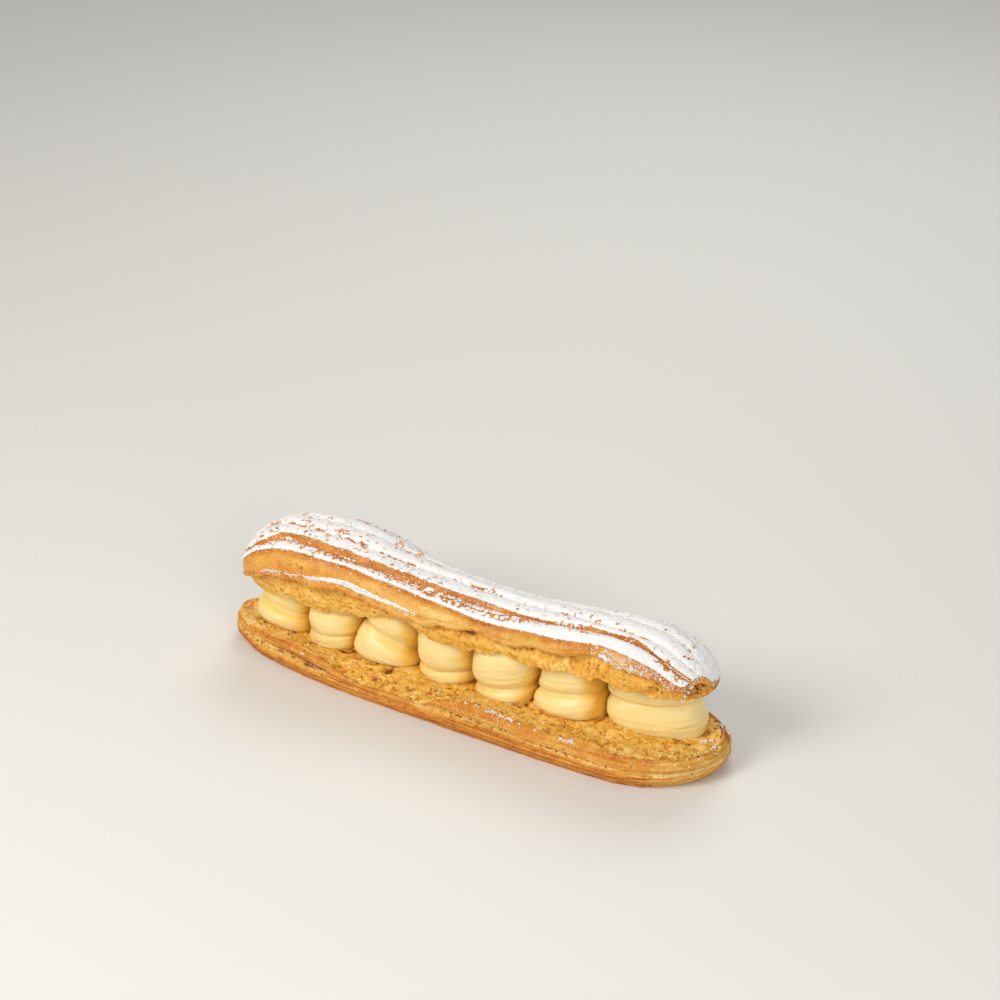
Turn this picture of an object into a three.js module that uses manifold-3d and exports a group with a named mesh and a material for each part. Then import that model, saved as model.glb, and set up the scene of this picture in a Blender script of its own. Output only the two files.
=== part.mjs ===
// A choux eclair split along its length: a base shell, seven piped rosettes of custard
// cream and a ridged lid. Millimetres, +Z up, X along the eclair, -Y the opened side.
import * as THREE from 'three';
import Module from 'manifold-3d';
import { mergeVertices } from 'three/addons/utils/BufferGeometryUtils.js';

// Clearance left between pieces that touch
const GAP = 0.3;

// Base: plan, with rounded ends of unequal run, and a belly that is widest half way up.
// sections are how many lie along the left end, the middle and the right end.
const BASE_ENDS = {
  left: -82.3, leftRun: 60, right: 82.8, rightRun: 27, roundness: 2, sections: [15, 22, 8],
};
const BASE_HALF_WIDTH = 21.4;
const BASE_END_SWAY = 4;
const BELLY_HEIGHT = 4.6;
const BELLY_RADIUS_BELOW = 10;
const BELLY_RADIUS_ABOVE = 8.6;
// How far the ends lean in above the belly, as a share of how far they do below it
const END_TUCK_ABOVE = 0.4;
// Height of the torn rims, at [x, z]: the near one dips where the crust broke away
const NEAR_RIM = [[-82, 9], [-62, 9.9], [-50, 9.3], [-40, 7.6], [-30, 6.1], [-10, 6],
  [1, 7.8], [9, 9.6], [28, 9.2], [50, 9.5], [62, 8.7], [83, 9]];
const FAR_RIM = [[-82, 9], [-55, 9.8], [-20, 9.2], [15, 10], [50, 9.3], [83, 9.2]];
// Torn crumb between the rims: its floor at [x, z], and its bumps, calmer next to a rim
const BASE_TOP = 9;
const BASE_FLOOR = [[-82, 7.2], [-30, 7], [10, 7.8], [60, 8.2], [83, 8]];
const RIM_SLOPE_WIDTH = 8;
const BASE_CRUMB_LIFT = 0.4;
const BASE_CRUMB_SIZE = 6;
const RIM_CALM = 0.7;
// Piped ridges along the sides, fading out where the base rests
const BASE_RIDGE_PITCH = 3.07;
const BASE_RIDGE_DEPTH = 0.6;
const BASE_RIDGE_FADE = 1.5;
const BASE_SIDE_STEPS = 12;
const BASE_TOP_STEPS = 10;

// Lid: plan and envelope, a half ellipse whose springing line rises and falls at [x, z]
const LID_ENDS = {
  left: -78.6, leftRun: 20, right: 78.6, rightRun: 27, roundness: 2.1, sections: [9, 28, 8],
};
const LID_HALF_WIDTH = 18;
const LID_RISE = 14;
const LID_LEFT_SWAY = -1.5;
const LID_RIGHT_SWAY = 5;
const LID_SPRING = [[-79, 25.9], [-68, 27], [-58, 28.1], [-47, 29.2], [-36, 28], [-26, 25.3],
  [-11, 22.6], [3, 22.2], [17, 22.5], [30, 23.9], [44, 25.6], [57, 26.2], [78, 25.6]];
// Grooves between the piped ridges, in degrees from the near side over the top, and how
// far they wander round the lid, at [x, degrees]
const LID_GROOVES = [29, 68, 90, 112, 134, 156];
const LID_WANDER = [[-79, 0], [-58, -2], [-47, -8], [-36, -8], [-26, -3], [-11, 3], [17, 5],
  [30, 7], [44, 6], [57, 0], [67, -6], [78, -6]];
// A ridge stands this high where it is at least so many degrees wide. Its crest lies nearer
// to its lower edge, and a narrow ridge keeps a share of the height.
const LID_RIDGE_DEPTH = 1.1;
const FULL_RIDGE_WIDTH = 18;
const NARROW_RIDGE_SHARE = 0.3;
const THINNEST_RIDGE = 3;
const RIDGE_CREST = 0.4;
const RIDGE_STEPS = [0, 0.14, 0.42, 0.78];
// Lower edge of the crust, in degrees up from the springing line, on each side
const NEAR_CRUST_EDGE = [[-79, -26], [-74, -12], [-67, 9], [-58, 17], [-40, 19], [-25, 25],
  [-12, 38], [10, 40], [30, 46], [60, 44], [78, 36]];
const FAR_CRUST_EDGE = [[-79, -30], [-68, 2], [-40, 8], [0, 18], [40, 14], [78, 10]];
// Torn underside: its hanging edge at [x, z], how far out that edge is, and its hollow
const LID_HEM = [[-79, 19], [-74, 19], [-68, 19.6], [-60, 20.4], [-50, 19.4], [-40, 21.8],
  [-29, 22.6], [-18, 25.2], [-10, 23.8], [-1, 21.8], [9, 23.4], [17, 25.4], [27, 24.5], [37, 25.4],
  [50, 26.4], [57, 25.2], [67, 24.8], [78, 23]];
const LID_HEM_REACH = 11;
const LID_HOLLOW = 1.6;
const LID_UNDER_STEPS = 7;
// Torn faces between the crust's lip and that edge: how hollow they are and how they curve in
const TORN_HOLLOW = 0.8;
const TORN_CURVE = 0.7;
const TORN_STEPS = 4;
// Lumps of the torn crumb, which stand out less sideways than they do upright
const LID_CRUMB_LIFT = 1.1;
const LID_CRUMB_SIZE = 7;
const LID_CRUMB_SIDEWAYS = 0.4;

// Cream: one row for each rosette. x and y are its centre at the foot, wide and deep its
// radii, square its squareness in plan and drift how far its top leans along x. Each coil is
// [seam height, share of the radius], from the foot up; the seams climb by so much round it.
const ROSETTES = [
  { x: -65, y: -0.4, wide: 11.3, deep: 9.4, square: 2, drift: 0, climb: 0.8, from: 200,
    coils: [[13, 1], [25, 0.96]] },
  { x: -47, y: 0.5, wide: 11, deep: 11, square: 2, drift: 1, climb: 1, from: 150,
    coils: [[10.8, 0.93], [17, 1], [25, 0.96]] },
  { x: -28.5, y: 0.8, wide: 12, deep: 11.5, square: 2.2, drift: 2, climb: 3, from: 250,
    coils: [[16, 1], [28, 0.93]] },
  { x: -7, y: 2, wide: 11, deep: 11, square: 2, drift: 0, climb: 0.7, from: 220,
    coils: [[10.8, 0.97], [19, 1.02], [29, 0.94]] },
  { x: 13.5, y: 1.2, wide: 11, deep: 10.5, square: 2.2, drift: 0, climb: 0.6, from: 180,
    coils: [[12.4, 0.97], [28, 1]] },
  { x: 34, y: 3, wide: 13.6, deep: 11, square: 2, drift: 1.5, climb: 0.8, from: 210,
    coils: [[16.2, 1.02], [21.8, 0.98], [30, 0.9]] },
  { x: 60, y: 6, wide: 14.6, deep: 9.4, square: 2.5, drift: -1, climb: 0.6, from: 190,
    coils: [[13, 0.98], [17.8, 1.01], [30, 0.96]] },
];
// Where the rosettes press together: [x at the foot, how far the meeting leans along x]
const MEETINGS = [[-82, 0], [-56, 1], [-39, 4], [-17, 0.5], [3.2, 0], [22.2, 4.5], [46.6, -2],
  [82, 0]];
// A coil bulges by so much between its seams, which are sharp where COIL_FULLNESS is low
const COIL_BULGE = 1;
const COIL_FULLNESS = 0.6;
const COIL_STEPS = [0, 0.1, 0.3, 0.5, 0.7, 0.9];
const CREAM_HEIGHT = 16;
const ROSETTE_FOOT = 5;
const ROSETTE_SIDES = 22;

// Place of the last section before a tip, as a share of the first step from it
const TIP_STEP = 0.35;
const DEGREE = Math.PI / 180;
const clamp = (value, low, high) => Math.min(high, Math.max(low, value));
const smooth = (t) => t * t * (3 - 2 * t);

// A smooth curve through [x, value] stations, level beyond the first and the last
function through(stations, x) {
  const last = stations.length - 1;
  if (x <= stations[0][0]) return stations[0][1];
  if (x >= stations[last][0]) return stations[last][1];
  let i = 0;
  while (x > stations[i + 1][0]) i += 1;
  const slope = (k) => {
    if (k === 0 || k === last) return 0;
    return (stations[k + 1][1] - stations[k - 1][1]) / (stations[k + 1][0] - stations[k - 1][0]);
  };
  const span = stations[i + 1][0] - stations[i][0];
  const t = (x - stations[i][0]) / span;
  const step = smooth(t);
  const bend = t * (1 - t) * span;
  return stations[i][1] * (1 - step) + stations[i + 1][1] * step
    + bend * ((1 - t) * slope(i) - t * slope(i + 1));
}

// Repeatable random value from 0 to 1 for a lattice point, and smooth noise from -1 to 1
function lattice(i, j, seed) {
  const wave = Math.sin(i * 127.1 + j * 311.7 + seed * 74.7) * 43758.5453;
  return wave - Math.floor(wave);
}

function noise(u, v, seed) {
  const i = Math.floor(u);
  const j = Math.floor(v);
  const s = smooth(u - i);
  const t = smooth(v - j);
  const near = lattice(i, j, seed) * (1 - s) + lattice(i + 1, j, seed) * s;
  const far = lattice(i, j + 1, seed) * (1 - s) + lattice(i + 1, j + 1, seed) * s;
  return 2 * (near * (1 - t) + far * t) - 1;
}

// How full the section is at x: 1 along the middle, falling round to 0 at each tip
function fullness(ends, x) {
  const left = (ends.left + ends.leftRun - x) / ends.leftRun;
  const right = (x - ends.right + ends.rightRun) / ends.rightRun;
  const t = clamp(Math.max(left, right, 0), 0, 1);
  return Math.pow(1 - Math.pow(t, ends.roundness), 1 / ends.roundness);
}

// Places of the sections: even along the middle, closing up towards each tip
function sectionPlaces(ends) {
  const [leftSteps, middleSteps, rightSteps] = ends.sections;
  const fromTip = (run, k, steps) => run * (1 - Math.cos((90 * DEGREE * k) / steps));
  const places = [ends.left + fromTip(ends.leftRun, TIP_STEP, leftSteps)];
  for (let k = 1; k <= leftSteps; k += 1) places.push(ends.left + fromTip(ends.leftRun, k, leftSteps));
  const from = ends.left + ends.leftRun;
  const to = ends.right - ends.rightRun;
  for (let k = 1; k <= middleSteps; k += 1) places.push(from + ((to - from) * k) / middleSteps);
  for (let k = rightSteps - 1; k >= 1; k -= 1) {
    places.push(ends.right - fromTip(ends.rightRun, k, rightSteps));
  }
  places.push(ends.right - fromTip(ends.rightRun, TIP_STEP, rightSteps));
  return places;
}

// Skin over closed rings of points from left to right, each end drawn to a tip
function skin(rings, leftTip, rightTip) {
  const size = rings[0].length;
  const points = [leftTip, ...rings.flat(), rightTip];
  const faces = [];
  const at = (ring, k) => 1 + ring * size + (k % size);
  for (let k = 0; k < size; k += 1) {
    faces.push(0, at(0, k + 1), at(0, k));
    faces.push(points.length - 1, at(rings.length - 1, k), at(rings.length - 1, k + 1));
  }
  for (let ring = 0; ring + 1 < rings.length; ring += 1) {
    for (let k = 0; k < size; k += 1) {
      faces.push(at(ring, k), at(ring, k + 1), at(ring + 1, k + 1));
      faces.push(at(ring, k), at(ring + 1, k + 1), at(ring + 1, k));
    }
  }
  const geometry = new THREE.BufferGeometry();
  geometry.setAttribute('position', new THREE.Float32BufferAttribute(points.flat(), 3));
  geometry.setIndex(faces);
  return geometry;
}

// Base

const baseCentre = (x) => BASE_END_SWAY * Math.pow(x / BASE_ENDS.right, 3);

// Half width of the base's belly at height z, as a share of its widest
function belly(z) {
  const radius = z < BELLY_HEIGHT ? BELLY_RADIUS_BELOW : BELLY_RADIUS_ABOVE;
  return Math.sqrt(1 - Math.pow((z - BELLY_HEIGHT) / radius, 2));
}

// One side of the base from the floor up to the rim: [share of the half width, z]
function baseSide(rim, full) {
  const side = [];
  for (let k = 0; k <= BASE_SIDE_STEPS; k += 1) {
    const z = (rim * k) / BASE_SIDE_STEPS;
    const groove = 0.5 - 0.5 * Math.cos((2 * Math.PI * z) / BASE_RIDGE_PITCH);
    const fade = smooth(clamp(z / BASE_RIDGE_FADE, 0, 1)) * full;
    side.push([belly(z) - (fade * BASE_RIDGE_DEPTH * groove) / BASE_HALF_WIDTH, z]);
  }
  return side;
}

// Torn top of the base at distance y from its centre line, between rims at -near and +far
function baseCrumb(x, y, near, far, full) {
  const nearRim = through(NEAR_RIM, x);
  const farRim = through(FAR_RIM, x);
  const nearPull = 1 - smooth(clamp((y + near) / RIM_SLOPE_WIDTH, 0, 1));
  const farPull = 1 - smooth(clamp((far - y) / RIM_SLOPE_WIDTH, 0, 1));
  const floor = through(BASE_FLOOR, x);
  const height = floor
    + ((nearRim - floor) * nearPull + (farRim - floor) * farPull) / Math.max(1, nearPull + farPull);
  const bumps = noise(x / BASE_CRUMB_SIZE, y / BASE_CRUMB_SIZE, 1)
    + 0.5 * noise((2 * x) / BASE_CRUMB_SIZE, (2 * y) / BASE_CRUMB_SIZE, 2);
  const calm = 1 - RIM_CALM * Math.max(nearPull, farPull);
  return height + BASE_CRUMB_LIFT * bumps * full * calm;
}

// A section of the base. Towards the tips it bends round, so that the ends are tucked in
// below the belly as the sides are, and stand more upright above it.
function baseRing(x) {
  const full = fullness(BASE_ENDS, x);
  const turn = Math.sign(x) * Math.sqrt(1 - full * full) * BASE_HALF_WIDTH;
  const half = BASE_HALF_WIDTH * full;
  const centre = baseCentre(x);
  const nearSide = baseSide(through(NEAR_RIM, x), full);
  const farSide = baseSide(through(FAR_RIM, x), full);
  const nearShare = nearSide[BASE_SIDE_STEPS][0];
  const farShare = farSide[BASE_SIDE_STEPS][0];
  const tuck = (share, z) => x - turn * (1 - share) * (z < BELLY_HEIGHT ? 1 : END_TUCK_ABOVE);
  const ring = nearSide.map(([share, z]) => [tuck(share, z), centre - half * share, z]);
  for (let k = 1; k < BASE_TOP_STEPS; k += 1) {
    const t = k / BASE_TOP_STEPS;
    const y = half * (farShare * t - nearShare * (1 - t));
    const share = farShare * t + nearShare * (1 - t);
    const place = tuck(share, BASE_TOP);
    ring.push([place, centre + y, baseCrumb(place, y, half * nearShare, half * farShare, full)]);
  }
  for (const [share, z] of farSide.reverse()) ring.push([tuck(share, z), centre + half * share, z]);
  ring.push([tuck(belly(0), 0), centre, 0]);
  return ring.reverse();
}

function baseGeometry() {
  const rings = sectionPlaces(BASE_ENDS).map(baseRing);
  return skin(rings, [BASE_ENDS.left, baseCentre(BASE_ENDS.left), BELLY_HEIGHT],
    [BASE_ENDS.right, baseCentre(BASE_ENDS.right), BELLY_HEIGHT]);
}

// Lid

function lidCentre(x) {
  const sway = x < 0 ? LID_LEFT_SWAY : LID_RIGHT_SWAY;
  return sway * Math.pow(Math.abs(x) / LID_ENDS.right, 3);
}

// The crust at an angle round the lid, sunk by so many millimetres: [y, z] about the centre
function lidCrust(angle, sunk) {
  const y = -(LID_HALF_WIDTH - sunk) * Math.cos(angle * DEGREE);
  return [y, (LID_RISE - sunk) * Math.sin(angle * DEGREE)];
}

// Edges of the ridges round the lid at x, in degrees: crust edge, grooves, crust edge
function ridgeEdges(x) {
  const wander = through(LID_WANDER, x);
  const low = through(NEAR_CRUST_EDGE, x);
  const high = 180 - through(FAR_CRUST_EDGE, x);
  const edges = [low];
  for (const groove of LID_GROOVES) {
    edges.push(Math.max(groove + wander, edges[edges.length - 1] + THINNEST_RIDGE));
  }
  edges.push(Math.max(high, edges[edges.length - 1] + THINNEST_RIDGE));
  return edges;
}

// How deep the crust lies under the envelope, at share t of a ridge so many degrees wide
function ridgeDepth(t, width) {
  const side = t < RIDGE_CREST ? t / RIDGE_CREST : (1 - t) / (1 - RIDGE_CREST);
  const share = clamp(width / FULL_RIDGE_WIDTH, NARROW_RIDGE_SHARE, 1);
  return LID_RIDGE_DEPTH * share * Math.pow(1 - side, 2);
}

// The torn face at a share t of the way from the crust's lip in and down to its hanging edge
function tornFace([lipOut, lipUp], [hemOut, hemUp], t) {
  const out = lipOut + (hemOut - lipOut) * Math.pow(t, TORN_CURVE);
  return [out - Math.sign(lipOut) * TORN_HOLLOW * Math.sin(Math.PI * t), lipUp + (hemUp - lipUp) * t];
}

function lidRing(x) {
  const full = fullness(LID_ENDS, x);
  const centre = lidCentre(x);
  const spring = through(LID_SPRING, x);
  const hem = through(LID_HEM, x) - spring;
  const edges = ridgeEdges(x);
  const section = [];
  for (let ridge = 0; ridge + 1 < edges.length; ridge += 1) {
    const width = edges[ridge + 1] - edges[ridge];
    for (const t of RIDGE_STEPS) {
      section.push(lidCrust(edges[ridge] + width * t, ridgeDepth(t, width)));
    }
  }
  section.push(lidCrust(edges[edges.length - 1], LID_RIDGE_DEPTH));
  const torn = section.length;
  const farLip = section[torn - 1];
  const nearLip = section[0];
  for (let k = 1; k <= TORN_STEPS; k += 1) {
    section.push(tornFace(farLip, [LID_HEM_REACH, hem], k / TORN_STEPS));
  }
  for (let k = 1; k < LID_UNDER_STEPS; k += 1) {
    const t = k / LID_UNDER_STEPS;
    section.push([LID_HEM_REACH * (1 - 2 * t), hem + LID_HOLLOW * Math.sin(Math.PI * t)]);
  }
  for (let k = TORN_STEPS; k >= 1; k -= 1) {
    section.push(tornFace(nearLip, [-LID_HEM_REACH, hem], k / TORN_STEPS));
  }
  return section.map(([y, z], k) => {
    const lumps = noise(x / LID_CRUMB_SIZE, (y + z) / LID_CRUMB_SIZE, 3);
    const lump = k < torn ? 0 : LID_CRUMB_LIFT * lumps;
    const sideways = Math.sign(y) * lump * LID_CRUMB_SIDEWAYS;
    return [x, centre + full * (y + sideways), spring + full * (z + lump)];
  }).reverse();
}

function lidGeometry() {
  const rings = sectionPlaces(LID_ENDS).map(lidRing);
  const tip = (x) => [x, lidCentre(x), through(LID_SPRING, x)];
  return skin(rings, tip(LID_ENDS.left), tip(LID_ENDS.right));
}

// Cream

// A cosine or sine drawn out so that the plan is an ellipse at power 2 and squarer above it
const squared = (value, power) => Math.sign(value) * Math.pow(Math.abs(value), 2 / power);

// One ring of a rosette at a share t of the way up a coil, from its lower seam to its upper
function coilRing(rosette, number, coil, t) {
  const [seam, share] = rosette.coils[coil];
  const foot = coil === 0 ? ROSETTE_FOOT : rosette.coils[coil - 1][0];
  const sunk = COIL_BULGE * (1 - Math.pow(Math.sin(Math.PI * t), COIL_FULLNESS));
  const ring = [];
  for (let k = 0; k < ROSETTE_SIDES; k += 1) {
    const angle = (2 * Math.PI * k) / ROSETTE_SIDES;
    const climb = rosette.climb * Math.cos(angle - rosette.from * DEGREE);
    const low = coil === 0 ? foot : foot + climb;
    const z = low + (seam + climb - low) * t;
    const up = (z - ROSETTE_FOOT) / CREAM_HEIGHT;
    const x = rosette.x + rosette.drift * up
      + (rosette.wide * share - sunk) * squared(Math.cos(angle), rosette.square);
    const y = rosette.y + (rosette.deep * share - sunk) * squared(Math.sin(angle), rosette.square);
    const left = MEETINGS[number][0] + MEETINGS[number][1] * up + GAP / 2;
    const right = MEETINGS[number + 1][0] + MEETINGS[number + 1][1] * up - GAP / 2;
    ring.push([clamp(x, left, right), y, z]);
  }
  return ring;
}

function rosetteGeometry(rosette, number) {
  const rings = [];
  rosette.coils.forEach((coil, k) => {
    for (const t of COIL_STEPS) rings.push(coilRing(rosette, number, k, t));
  });
  const last = rosette.coils.length - 1;
  rings.push(coilRing(rosette, number, last, 1));
  const top = rosette.coils[last][0];
  return skin(rings, [rosette.x, rosette.y, ROSETTE_FOOT], [rosette.x + rosette.drift, rosette.y, top]);
}

// Cutting the cream to what it lies on and what lies on it

const wasm = await Module();
wasm.setup();

function toSolid(geometry) {
  const bare = new THREE.BufferGeometry();
  bare.setAttribute('position', geometry.getAttribute('position').clone());
  bare.setIndex(geometry.getIndex());
  const merged = mergeVertices(bare, 1e-4);
  const mesh = new wasm.Mesh({
    numProp: 3,
    vertProperties: new Float32Array(merged.getAttribute('position').array),
    triVerts: new Uint32Array(merged.getIndex().array),
  });
  return new wasm.Manifold(mesh);
}

function toGeometry(solid) {
  const mesh = solid.getMesh();
  const geometry = new THREE.BufferGeometry();
  geometry.setAttribute('position', new THREE.BufferAttribute(mesh.vertProperties, 3));
  geometry.setIndex(new THREE.BufferAttribute(mesh.triVerts, 1));
  return geometry;
}

const base = baseGeometry();
const lid = lidGeometry();
const under = toSolid(base.clone().translate(0, 0, GAP));
const over = toSolid(lid.clone().translate(0, 0, -GAP));
const creams = ROSETTES.map((rosette, k) => {
  return toGeometry(toSolid(rosetteGeometry(rosette, k)).subtract(under).subtract(over));
});

// Assembly, with the origin under the middle of the whole

const bakedChoux = new THREE.MeshStandardMaterial({ color: 0xe0a455, roughness: 0.6, metalness: 0 });
const sugaredChoux = new THREE.MeshStandardMaterial({ color: 0xe2c49a, roughness: 0.7, metalness: 0 });
const custard = new THREE.MeshStandardMaterial({ color: 0xf5d98a, roughness: 0.4, metalness: 0 });

const eclair = new THREE.Group();
const pieces = [['base', base, bakedChoux], ['lid', lid, sugaredChoux]];
creams.forEach((cream, k) => pieces.push([`cream_${k + 1}`, cream, custard.clone()]));
const whole = new THREE.Box3();
for (const [, geometry] of pieces) {
  geometry.computeBoundingBox();
  whole.union(geometry.boundingBox);
}
const middle = whole.getCenter(new THREE.Vector3());
for (const [name, geometry, material] of pieces) {
  geometry.translate(-middle.x, -middle.y, -whole.min.z);
  geometry.computeVertexNormals();
  const mesh = new THREE.Mesh(geometry, material);
  mesh.name = name;
  eclair.add(mesh);
}

export default eclair;
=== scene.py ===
# A choux eclair, split along its length and filled with seven piped rosettes of custard cream,
# its ridged lid dusted with icing sugar. Sizes are in millimetres and are turned to metres as
# each mesh is made. +Z is up, X runs along the eclair and -Y is its opened side.
import math
import bmesh
import bpy
import numpy as np
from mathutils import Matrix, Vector


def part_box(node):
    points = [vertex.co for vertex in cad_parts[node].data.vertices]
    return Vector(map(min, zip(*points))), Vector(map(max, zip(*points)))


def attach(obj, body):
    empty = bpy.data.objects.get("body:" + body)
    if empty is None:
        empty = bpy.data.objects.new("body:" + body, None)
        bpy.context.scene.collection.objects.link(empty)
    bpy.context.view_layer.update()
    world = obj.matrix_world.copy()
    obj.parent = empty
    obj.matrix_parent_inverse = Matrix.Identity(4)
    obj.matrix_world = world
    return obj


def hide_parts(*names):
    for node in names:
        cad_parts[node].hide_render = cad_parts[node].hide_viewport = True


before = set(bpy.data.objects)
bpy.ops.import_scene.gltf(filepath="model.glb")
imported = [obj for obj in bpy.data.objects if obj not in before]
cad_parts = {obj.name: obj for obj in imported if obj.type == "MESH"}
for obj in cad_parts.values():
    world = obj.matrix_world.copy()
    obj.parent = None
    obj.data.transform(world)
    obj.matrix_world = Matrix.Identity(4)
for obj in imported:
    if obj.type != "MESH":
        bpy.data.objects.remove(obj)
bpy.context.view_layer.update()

# The setting: a plain pale floor that runs on out of sight, a large soft light high on the
# left, a weaker one on the right, one behind and a pale room all round. The camera looks down
# on the opened side from the right, as the photograph does.
MM = 0.001
CAMERA_PLACE = (429.0, -631.8, 454.4)
CAMERA_TILT, CAMERA_TURN = 62.98, 33.6
CAMERA_LENS, CAMERA_SENSOR = 108, 36
LAMPS = {"key light": [(-235, -560, 490), (0, 0, 20), 380, 3.6, "#fffaf3"],
         "fill light": [(520, -420, 330), (0, 0, 20), 460, 1.7, "#fbfcff"],
         "back light": [(-160, 480, 560), (0, 0, 30), 420, 1.5, "#ffffff"]}
ROOM_COLOUR, ROOM_STRENGTH = "#f4f3f0", 0.36
FLOOR_HALF = 3000


def hex_colour(text):
    """An sRGB hex colour as linear red, green, blue and alpha."""
    shares = [int(text[k:k + 2], 16) / 255 for k in (1, 3, 5)]
    linear = [s / 12.92 if s <= 0.04045 else ((s + 0.055) / 1.055) ** 2.4 for s in shares]
    return (*linear, 1.0)


def add_node(material, kind, inputs=None, stops=(), **settings):
    """A node with its settings. An input is a value, a socket, or a node whose first output it
    takes. The stops are the [place, colour] pairs of a colour ramp."""
    node = material.node_tree.nodes.new(kind)
    for name, value in settings.items():
        setattr(node, name, value)
    for name, value in (inputs or {}).items():
        if isinstance(value, bpy.types.Node):
            value = value.outputs[0]
        if isinstance(value, bpy.types.NodeSocket):
            material.node_tree.links.new(value, node.inputs[name])
        else:
            node.inputs[name].default_value = value
    for place, _ in stops[1:-1]:
        node.color_ramp.elements.new(place)
    for number, (place, colour) in enumerate(stops):
        node.color_ramp.elements[number].position = place
        node.color_ramp.elements[number].color = hex_colour(colour)
    return node


def new_material(name):
    """A material with no nodes yet."""
    material = bpy.data.materials.new(name)
    material.use_nodes = True
    material.node_tree.nodes.clear()
    return material


camera_data = bpy.data.cameras.new("camera")
camera_data.lens = CAMERA_LENS
camera_data.sensor_width = CAMERA_SENSOR
camera = bpy.data.objects.new("camera", camera_data)
camera.location = Vector(CAMERA_PLACE) * MM
camera.rotation_euler = (math.radians(CAMERA_TILT), 0, math.radians(CAMERA_TURN))
bpy.context.scene.collection.objects.link(camera)
bpy.context.scene.camera = camera
bpy.context.scene.view_settings.view_transform = "Standard"

for name, (place, aim, size, watts, colour) in LAMPS.items():
    light = bpy.data.lights.new(name, "AREA")
    light.shape = "DISK"
    light.size = size * MM
    light.energy = watts
    light.color = hex_colour(colour)[:3]
    lamp = bpy.data.objects.new(name, light)
    lamp.location = Vector(place) * MM
    lamp.rotation_euler = (Vector(aim) - Vector(place)).to_track_quat("-Z", "Y").to_euler()
    bpy.context.scene.collection.objects.link(lamp)
room = bpy.data.worlds.new("pale room")
bpy.context.scene.world = room
room.use_nodes = True
room.node_tree.nodes["Background"].inputs["Color"].default_value = hex_colour(ROOM_COLOUR)
room.node_tree.nodes["Background"].inputs["Strength"].default_value = ROOM_STRENGTH

# Board painted matt and pale, which takes soft shadows and shows no shine.
floor_paint = new_material("pale matt board")
board = add_node(floor_paint, "ShaderNodeBsdfPrincipled",
                 {"Base Color": hex_colour("#e9e8e3"), "Roughness": 0.6})
add_node(floor_paint, "ShaderNodeOutputMaterial", {"Surface": board})
floor_mesh = bpy.data.meshes.new("floor")
corners = [(x * FLOOR_HALF * MM, y * FLOOR_HALF * MM, 0) for x, y in ((-1, -1), (1, -1), (1, 1), (-1, 1))]
floor_mesh.from_pydata(corners, [], [(0, 1, 2, 3)])
floor_mesh.materials.append(floor_paint)
floor = bpy.data.objects.new("floor", floor_mesh)
bpy.context.scene.collection.objects.link(floor)

# Crust of the base: the browned outside of a choux bun, a thin shell that was piped in fine
# ridges, baked crisp and torn open along the top. Here it is a shell about a millimetre
# thick with a ragged rim, its floor flat where it stood on the baking sheet.
BASE_LEFT, BASE_RIGHT = -82.3, 82.8
BASE_LEFT_RUN, BASE_RIGHT_RUN = 60, 27
BASE_HALF_WIDTH = 21.4
BASE_END_SWAY = 4
BELLY_HEIGHT = 4.6
BELLY_RADIUS_BELOW = 10
BELLY_RADIUS_ABOVE = 8.6
END_TUCK_ABOVE = 0.4
NEAR_RIM = [[-82, 9], [-62, 9.9], [-50, 9.3], [-40, 7.6], [-30, 6.1], [-10, 6], [1, 7.8], [9, 9.6], [28, 9.2],
            [50, 9.5], [62, 8.7], [83, 9]]
FAR_RIM = [[-82, 9], [-55, 9.8], [-20, 9.2], [15, 10], [50, 9.3], [83, 9.2]]
BASE_RIDGE_PITCH = 3.07
BASE_RIDGE_DEPTH = 0.6
BASE_CRUST_THICKNESS = 1.0
BASE_SECTIONS = 480


def smooth(t):
    """0 below 0 and 1 above 1, with a soft step between."""
    t = np.clip(t, 0, 1)
    return t * t * (3 - 2 * t)


def peak(away, width):
    """1 where away is 0, fading out over about that width."""
    return np.exp(-(away / width) ** 2)


def through(stations, x):
    """A smooth curve through [x, value] stations, level beyond the first and the last."""
    places, values = np.array(stations, float).T
    slope = np.zeros(len(places))
    slope[1:-1] = (values[2:] - values[:-2]) / (places[2:] - places[:-2])
    x = np.clip(x, places[0], places[-1])
    i = np.clip(np.searchsorted(places, x) - 1, 0, len(places) - 2)
    span = places[i + 1] - places[i]
    t = (x - places[i]) / span
    step = smooth(t)
    bend = t * (1 - t) * span
    return values[i] * (1 - step) + values[i + 1] * step + bend * ((1 - t) * slope[i] - t * slope[i + 1])


def fullness(x, left, left_run, right, right_run, roundness):
    """How full the section is at x: 1 along the middle, falling round to 0 at each tip."""
    t = np.maximum((left + left_run - x) / left_run, (x - right + right_run) / right_run)
    t = np.clip(t, 0, 1)
    return (1 - t ** roundness) ** (1 / roundness)


def section_places(left, right, count):
    """Places of the sections along x, as a column: even along the middle, closer at each tip."""
    middle_spread, tip_squeeze, tip_steps = 0.16, 1.35, np.array([0.01, 0.06, 0.3])
    t = np.linspace(-1, 1, count + 2)[1:-1]
    eased = t + middle_spread * np.sin(np.pi * t) / np.pi
    eased = np.sign(t) * (1 - (1 - np.abs(eased)) ** tip_squeeze)
    places = (left + right) / 2 + (right - left) / 2 * eased
    by_left = left + (places[0] - left) * tip_steps
    by_right = right - (right - places[-1]) * tip_steps[::-1]
    return np.concatenate([by_left, places, by_right])[:, None]


def scrambled(value):
    """The last digits of a large multiple of the value's sine, as a repeatable chance from 0 to 1."""
    wave = np.sin(value) * 43758.5453
    return wave - np.floor(wave)


def chance(cell, salt):
    """A repeatable random value from 0 to 1 for each whole-number cell of space."""
    return scrambled(cell @ np.array([127.1, 311.7, 74.7]) + 269.5 * salt)


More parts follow.
